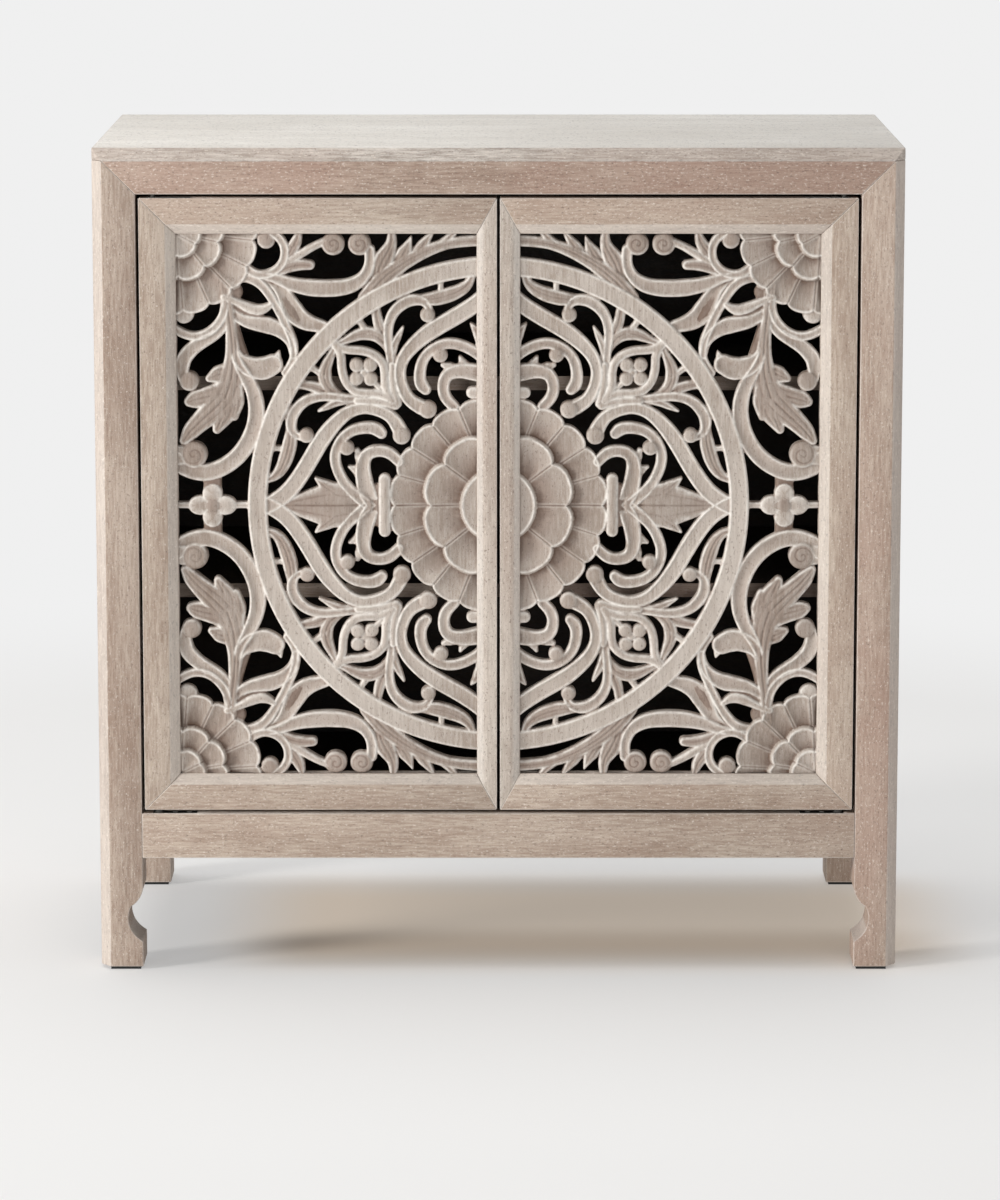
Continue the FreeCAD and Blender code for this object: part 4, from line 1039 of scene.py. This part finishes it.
def panel_arrays():
    """Points and faces of the right-hand panel."""
    count_v = len(whole_v)
    first, second = np.nonzero(cells)
    corner = first * count_v + second
    quads = np.column_stack([corner, corner + count_v, corner + count_v + 1, corner + 1])
    used, quads = np.unique(quads, return_inverse=True)
    quads = quads.reshape(-1, 4)
    size = len(used)
    u, v = point_u.ravel()[used], point_v.ravel()[used]
    front = np.column_stack([u, PANEL_BACK - face_height.ravel()[used], v + DOOR_MIDDLE])
    rear = np.column_stack([u, np.full(size, PANEL_BACK), v + DOOR_MIDDLE])
    sides = np.concatenate([quads[:, [i, (i + 1) % 4]] for i in range(4)])
    side_name = sides.min(1).astype(np.int64) * size + sides.max(1)
    names, counts = np.unique(side_name, return_counts=True)
    rim = sides[np.isin(side_name, names[counts == 1])]
    walls = np.column_stack([rim[:, 1], rim[:, 0], rim[:, 0] + size, rim[:, 1] + size])
    return np.concatenate([front, rear]) * MM, np.concatenate([quads, quads[:, ::-1] + size, walls])


blank_points, blank_faces = panel_arrays()
print("panel of", len(blank_faces), "faces before thinning")

# %% [markdown]
# Flat places don't need all of these points. A Decimate modifier thins them where the surface loses
# least, and the evaluated object is then turned into a plain mesh.

# %% Thin the panel
KEPT_SHARE = 0.2


def baked(maker):
    """The mesh that an object's modifier makes. The object itself goes."""
    mesh = bpy.data.meshes.new_from_object(maker.evaluated_get(bpy.context.evaluated_depsgraph_get()))
    bpy.data.objects.remove(maker)
    return mesh


blank_mesh = bpy.data.meshes.new("carved_blank")
blank_mesh.from_pydata(blank_points.tolist(), [], blank_faces.tolist())
blank = in_scene("carved_blank", blank_mesh)
blank.modifiers.new("thin", "DECIMATE").ratio = KEPT_SHARE
thin_mesh = baked(blank)
panel_points = np.empty(len(thin_mesh.vertices) * 3)
thin_mesh.vertices.foreach_get("co", panel_points)
panel_points = panel_points.reshape(-1, 3)
panel_faces = [tuple(face.vertices) for face in thin_mesh.polygons]
print("thinned to", len(panel_faces), "faces")

# %% [markdown]
# The two doors get the same carving, one as it is and one mirrored. A mirrored face points inwards, so
# its corners are listed the other way round. Each point takes its rim and its brown from the grid under
# it.

# %% Carved panels
FACE_FROM = (PANEL_BACK - 3) * MM
CARVING_SHARP = math.radians(50)


def nearest(places, lines):
    """The grid line nearest to each place."""
    return np.clip(np.rint((places - lines[0]) / GRID).astype(int), 0, len(lines) - 1)


def sampled(field, points):
    """The field's value under each point of the face, and none on walls and back."""
    row = nearest(np.abs(points[:, 0]) / MM, across)
    column = nearest(points[:, 2] / MM - DOOR_MIDDLE, whole_v)
    return np.where(points[:, 1] < FACE_FROM, field[row, column], 0)


def carved_panel(door, side):
    points = panel_points * np.array([side, 1, 1])
    faces = [face if side > 0 else face[::-1] for face in panel_faces]
    mesh = bpy.data.meshes.new(door + "_carving")
    mesh.from_pydata(points.tolist(), [], faces)
    for name, field in (("rim", rim_highlight_share), ("brown_and_shade", brown_and_shade_share)):
        values = mesh.attributes.new(name, "FLOAT", "POINT")
        values.data.foreach_set("value", sampled(field, points).astype(np.float32))
    mesh.shade_smooth()
    mesh.set_sharp_from_angle(angle=CARVING_SHARP)
    return finish_piece(door + "_carving", mesh, carving_wood, door + "_carved_panel")


for door, side in (("left_door", -1), ("right_door", 1)):
    panel = carved_panel(door, side)
    print(panel.name, len(panel.data.polygons), "faces")

# %% [markdown]
# ## Screws
# Every screw is the same thing in a few sizes: a countersunk head with a cross slot and a shank. Geometry
# Nodes make one from its sizes, so that all sets share one tree: a cone and a cylinder joined, less two
# crossed bars.

# %% Screw tree: one screw
HEAD_SIDES, SHANK_SIDES = 20, 12
SHANK_SINK, SLOT_REACH = -0.2 * MM, 1.2


def lifted(tree, mesh, height):
    place = add(tree, "ShaderNodeCombineXYZ", None, {2: height}).outputs[0]
    return add(tree, "GeometryNodeTransform", None, {"Geometry": mesh, "Translation": place}).outputs[0]


def combined(tree, operation, parts, base=None):
    """The parts joined, or the base less the parts. The manifold solver keeps the result closed."""
    made = add(tree, "GeometryNodeMeshBoolean", {"operation": operation, "solver": "MANIFOLD"})
    if base is not None:
        tree.links.new(base, made.inputs["Mesh 1"])
    for part in parts:
        tree.links.new(part, made.inputs["Mesh 2"])
    return made.outputs["Mesh"]


def one_screw(tree, given):
    head = add(tree, "GeometryNodeMeshCone", None, {
        "Vertices": HEAD_SIDES, "Radius Top": given["Head radius"], "Radius Bottom": given["Shank radius"],
        "Depth": given["Head depth"]}).outputs["Mesh"]
    head = lifted(tree, head, times(tree, given["Head depth"], -1.0))
    shank = add(tree, "GeometryNodeMeshCylinder", None, {
        "Vertices": SHANK_SIDES, "Radius": given["Shank radius"], "Depth": given["Length"]}).outputs["Mesh"]
    shank = lifted(tree, shank, calc(tree, "ADD", times(tree, given["Length"], -0.5), SHANK_SINK))
    reach = times(tree, given["Head radius"], SLOT_REACH)
    tall = times(tree, given["Slot depth"], 2.0)
    bars = []
    for long, wide in ((reach, given["Slot width"]), (given["Slot width"], reach)):
        size = add(tree, "ShaderNodeCombineXYZ", None, {0: long, 1: wide, 2: tall}).outputs[0]
        bars.append(add(tree, "GeometryNodeMeshCube", None, {"Size": size}).outputs["Mesh"])
    return combined(tree, "DIFFERENCE", bars, combined(tree, "UNION", (head, shank)))


print("a screw has", HEAD_SIDES, "sides on its head and", SHANK_SIDES, "on its shank")

# %% [markdown]
# The tree then sets the screw at each place, aimed the way the place says and turned by chance, as real
# screws stop where they are tight. Realize Instances and Set Material make it a plain mesh with its
# finish.

# %% Screw tree: at its places
GEOMETRY, MATERIAL = "NodeSocketGeometry", "NodeSocketMaterial"
SCREW_SIZES = ("Head radius", "Head depth", "Shank radius", "Length", "Slot width", "Slot depth")
TURN_SEED = 5


def make_screw_tree():
    sizes = [(label, FLOAT) for label in SCREW_SIZES]
    tree, given, out = new_group("Screws", [("Places", GEOMETRY)] + sizes + [("Finish", MATERIAL)],
                                 [("Screws", GEOMETRY)], "GeometryNodeTree")
    aim = add(tree, "GeometryNodeInputNamedAttribute", {"data_type": "FLOAT_VECTOR"}, {"Name": "aim"})
    aim = aim.outputs[0]
    facing = add(tree, "FunctionNodeAlignRotationToVector", {"axis": "Z"}, {"Vector": aim}).outputs[0]
    chance = add(tree, "FunctionNodeRandomValue", {"data_type": "FLOAT"},
                 {2: 0.0, 3: math.pi, "Seed": TURN_SEED}).outputs[1]
    turn = add(tree, "FunctionNodeAxisAngleToRotation", None, {"Axis": (0, 0, 1), "Angle": chance})
    facing = add(tree, "FunctionNodeRotateRotation", {"rotation_space": "LOCAL"},
                 {"Rotation": facing, "Rotate By": turn.outputs[0]}).outputs[0]
    points = add(tree, "GeometryNodeMeshToPoints", None, {"Mesh": given["Places"]}).outputs[0]
    placed = add(tree, "GeometryNodeInstanceOnPoints", None, {
        "Points": points, "Instance": one_screw(tree, given), "Rotation": facing}).outputs[0]
    real = add(tree, "GeometryNodeRealizeInstances", None, {"Geometry": placed}).outputs[0]
    done = add(tree, "GeometryNodeSetMaterial", None, {"Geometry": real, "Material": given["Finish"]})
    tree.links.new(done.outputs[0], out["Screws"])
    return tree


screw_tree = make_screw_tree()
print("made the screw tree")

# %% [markdown]
# Each CAD node of screws gives the places, so that nothing is measured twice: every loose shape in it is
# one screw, its longest side is the shank and its widest end is the head.

# %% Places of the screws
ON_AXIS = 0.5 * MM


def loose_shapes(name):
    """The points of each loose shape of a CAD node, in the order of its mesh."""
    shape = merged_copy(name)
    todo, found = set(shape.verts), []
    for start in shape.verts:
        island, reach = [], [start] if start in todo else []
        todo.discard(start)
        while reach:
            vertex = reach.pop()
            island.append(vertex.co.copy())
            near = [edge.other_vert(vertex) for edge in vertex.link_edges]
            near = [other for other in near if other in todo]
            todo.difference_update(near)
            reach.extend(near)
        if island:
            found.append(np.array(island))
    shape.free()
    return found


def screw_places(name):
    """Middle of each head, the way it faces, and the sizes of the screws of one CAD node."""
    places, aims = [], []
    for points in loose_shapes(name):
        low, high = points.min(0), points.max(0)
        axis = int(np.argmax(high - low))
        middle = (low + high) / 2
        away = np.linalg.norm(np.delete(points - middle, axis, 1), axis=1)
        head_up = points[np.argmax(away), axis] > middle[axis]
        facing, top = np.zeros(3), middle.copy()
        facing[axis] = 1 if head_up else -1
        top[axis] = high[axis] if head_up else low[axis]
        places.append(top)
        aims.append(facing)
    head = float(away.max())
    shank = float(away.min()) if away.min() > ON_AXIS else head / 2
    return places, aims, head, shank, float((high - low)[axis])


screw_nodes = [name for name in slot_of if name.endswith("_screws")]
print("found", len(screw_nodes), "sets of screws")

# %% [markdown]
# A mesh of bare points carries the tree for each set. The head's depth and slot are shares of its radius,
# as on standard screws. The result becomes a plain mesh that stands for the CAD node.

# %% Screws at their places
HEAD_DEPTH, SLOT_WIDTH, SLOT_DEPTH = 0.6, 0.34, 0.42
SHORTER = 0.4 * MM


def screws(name):
    places, aims, head, shank, length = screw_places(name)
    mesh = bpy.data.meshes.new(name + "_places")
    mesh.from_pydata([tuple(place) for place in places], [], [])
    aim = mesh.attributes.new("aim", "FLOAT_VECTOR", "POINT")
    aim.data.foreach_set("vector", np.array(aims, np.float32).ravel())
    carrier = in_scene(name + "_places", mesh)
    maker = carrier.modifiers.new("screws", "NODES")
    maker.node_group = screw_tree
    values = dict(zip(SCREW_SIZES, (head, head * HEAD_DEPTH, shank, length - SHORTER, head * SLOT_WIDTH,
                                    head * SLOT_DEPTH)))
    values["Finish"] = finish_of["steel"]
    for socket in screw_tree.interface.items_tree:
        if socket.in_out == "INPUT" and socket.name in values:
            maker[socket.identifier] = values[socket.name]
    finish_piece(name + "_set", baked(carrier), finish_of["steel"], name)
    return len(places)


print("set", sum(screws(name) for name in screw_nodes), "screws")

# %% [markdown]
# ## The rest of the pieces
# Shelves, glides, plates and pins are plain shapes. Modelling them again would add nothing, so the CAD
# nodes show as they are and only take their finish.

# %% Finish of the plain pieces
plain = [name for name in nodes if not nodes[name].hide_render]
for name in plain:
    finish = "shelf" if name.endswith("shelf") else "pivot" if "pivot" in name else slot_of[name]
    nodes[name].data.materials.clear()
    nodes[name].data.materials.append(finish_of[finish])
print("finished", len(plain), "plain pieces")

# %% [markdown]
# ## Studio floor
# The ground is plain and pale, with a soft warm shadow below the cabinet. The floor is paper whose far part
# fades into the ground behind, so no horizon shows. That shadow is painted on the floor: below the cabinet
# it takes the colour of the wood above it, and near its front it is dimmer.

# %% Studio floor
GROUND, GROUND_SHADOW_WARM = (0.870, 0.870, 0.870, 1), (0.87, 0.77, 0.66, 1)
FLOOR_DARK, FLOOR_PALE = (0.84, 0.832, 0.818, 1), (0.86, 0.852, 0.838, 1)
FLOOR_SHADOW_WARM = (0.86, 0.72, 0.58, 1)
FLOOR_REACH, FLOOR_ROUGHNESS, PAPER_SCALE = 40.0, 0.9, 0.8
FADE = (0.7, 1.9)
GLOW, GLOW_IN_PAINTED_SHADOW = 0.42, 0.15
# The two patches are a painted shadow below the cabinet: warm, and dimmer near its front.
# Lowest and highest X and Y of a patch of the floor, and the softness of its edge
PAINTED_SHADOW_PATCH = (-0.24, -0.175), (0.46, -0.06), 0.05
WARM_SHADOW_PATCH = (-0.25, -0.17), (0.44, 0.16), 0.08


def patch_mask(tree, place, lowest, highest, soft):
    """1 on a patch of the floor, with soft edges."""
    mask = 1.0
    for axis, low, high in zip("XY", lowest, highest):
        past = soft_step(tree, place[axis], high - soft, high + soft)
        mask = times(tree, soft_step(tree, place[axis], low - soft, low + soft), mask)
        mask = times(tree, calc(tree, "SUBTRACT", 1.0, past), mask)
    return mask


def floor_material():
    material, tree, surface, coordinates = new_material("studio_floor")
    place = parts_of(tree, coordinates)
    painted_shadow = patch_mask(tree, place, *PAINTED_SHADOW_PATCH)
    warm_shadow = patch_mask(tree, place, *WARM_SHADOW_PATCH)
    paper = mixed(tree, noise(tree, coordinates, EVEN, PAPER_SCALE), FLOOR_DARK, FLOOR_PALE)
    tree.links.new(mixed(tree, warm_shadow, paper, FLOOR_SHADOW_WARM), surface["Base Color"])
    surface["Roughness"].default_value = FLOOR_ROUGHNESS
    surface["Specular IOR Level"].default_value = 0.0
    away = add(tree, "ShaderNodeVectorMath", {"operation": "LENGTH"}, {0: coordinates}).outputs["Value"]
    glow = add(tree, "ShaderNodeMapRange", None, {"Value": painted_shadow, "To Min": GLOW, "To Max": GLOW_IN_PAINTED_SHADOW})
    share = calc(tree, "MAXIMUM", soft_step(tree, away, *FADE), glow.outputs[0])
    lit = tree.nodes["Principled BSDF"].outputs[0]
    ground = add(tree, "ShaderNodeEmission", None, {"Color": mixed(tree, warm_shadow, GROUND, GROUND_SHADOW_WARM)})
    faded = add(tree, "ShaderNodeMixShader", None, {0: share, 1: lit, 2: ground.outputs[0]})
    tree.links.new(faded.outputs[0], tree.nodes["Material Output"].inputs["Surface"])
    return material


floor_mesh = bpy.data.meshes.new("floor")
floor_mesh.from_pydata([(-FLOOR_REACH, -FLOOR_REACH, 0), (FLOOR_REACH, -FLOOR_REACH, 0),
                        (FLOOR_REACH, FLOOR_REACH, 0), (-FLOOR_REACH, FLOOR_REACH, 0)], [], [(0, 1, 2, 3)])
floor_mesh.materials.append(floor_material())
floor = in_scene("floor", floor_mesh)
print("laid the floor")

# %% [markdown]
# ## Light
# The light is soft and comes from the left. A key lamp stands there, a low one near the floor lights the
# feet, and two large weak ones in front and above fill the shadows. An even sky does the rest: it is as
# bright as the ground where it is seen, and weaker where it only lights, so that the lamps still shape
# the carving.

# %% Lamps and sky
MIDDLE = (0, 0, 0.42)
SKY_LIGHT = 0.24


def lamp(name, place, target, size, power, color):
    data = bpy.data.lights.new(name, "AREA")
    data.shape = "DISK"
    data.size = size
    data.energy = power
    data.color = color
    made = in_scene(name, data)
    made.location = place
    made.rotation_euler = (Vector(target) - Vector(place)).to_track_quat("-Z", "Y").to_euler()


lamp("key lamp", (-5.8, -2.8, 1.9), MIDDLE, 1.6, 305, (1.0, 0.985, 0.965))
lamp("low lamp", (-2.2, -3.6, 0.2), (0, 0, 0.1), 1.2, 48, (1.0, 0.99, 0.975))
lamp("front lamp", (1.7, -5.4, 0.7), (0, 0, 0.3), 4.0, 76, (0.98, 0.99, 1.0))
lamp("top lamp", (-0.5, 0.8, 6.0), MIDDLE, 5.0, 230, (1.0, 1.0, 1.0))

world = bpy.data.worlds.new("studio")
bpy.context.scene.world = world
world.use_nodes = True
sky = world.node_tree
ray = add(sky, "ShaderNodeLightPath").outputs
seen = ray["Is Camera Ray"]
for kind in ("Is Glossy Ray", "Is Transmission Ray"):
    seen = calc(sky, "MAXIMUM", seen, ray[kind])
strength = add(sky, "ShaderNodeMapRange", None, {"Value": seen, "To Min": SKY_LIGHT, "To Max": 1.0})
sky.nodes["Background"].inputs["Color"].default_value = GROUND
sky.links.new(strength.outputs[0], sky.nodes["Background"].inputs["Strength"])
print("lit by", len(bpy.data.lights), "lamps and the sky")

# %% [markdown]
# ## Camera
# The camera stands where a fit to the cabinet's corners puts it: far away, somewhat above the top and
# looking slightly down. A small shift of the lens brings the cabinet to its place in the picture.

# %% Camera
FOCAL_MM, SENSOR_MM = 143.7, 36
SHIFT_ACROSS, SHIFT_UP = 0.0013, -0.12
CAMERA_AWAY, CAMERA_HEIGHT, CAMERA_PITCH = 4.884, 1.256, 8.891

camera_data = bpy.data.cameras.new("camera")
camera_data.lens = FOCAL_MM
camera_data.sensor_width = SENSOR_MM
camera_data.shift_x = SHIFT_ACROSS
camera_data.shift_y = SHIFT_UP
camera = in_scene("camera", camera_data)
camera.location = (0, -CAMERA_AWAY, CAMERA_HEIGHT)
camera.rotation_euler = (math.radians(90 - CAMERA_PITCH), 0, 0)
bpy.context.scene.camera = camera
bpy.context.scene.view_settings.view_transform = "Standard"
print("camera", CAMERA_AWAY, "m in front of the middle")

# %% [markdown]
# The size of the CAD model's box is printed. The dressed cabinet has to fill the same box as the CAD
# model.

# %% Print the size of the CAD box
print("the CAD model is", [round(side, 3) for side in cad_box[1] - cad_box[0]], "m in size")
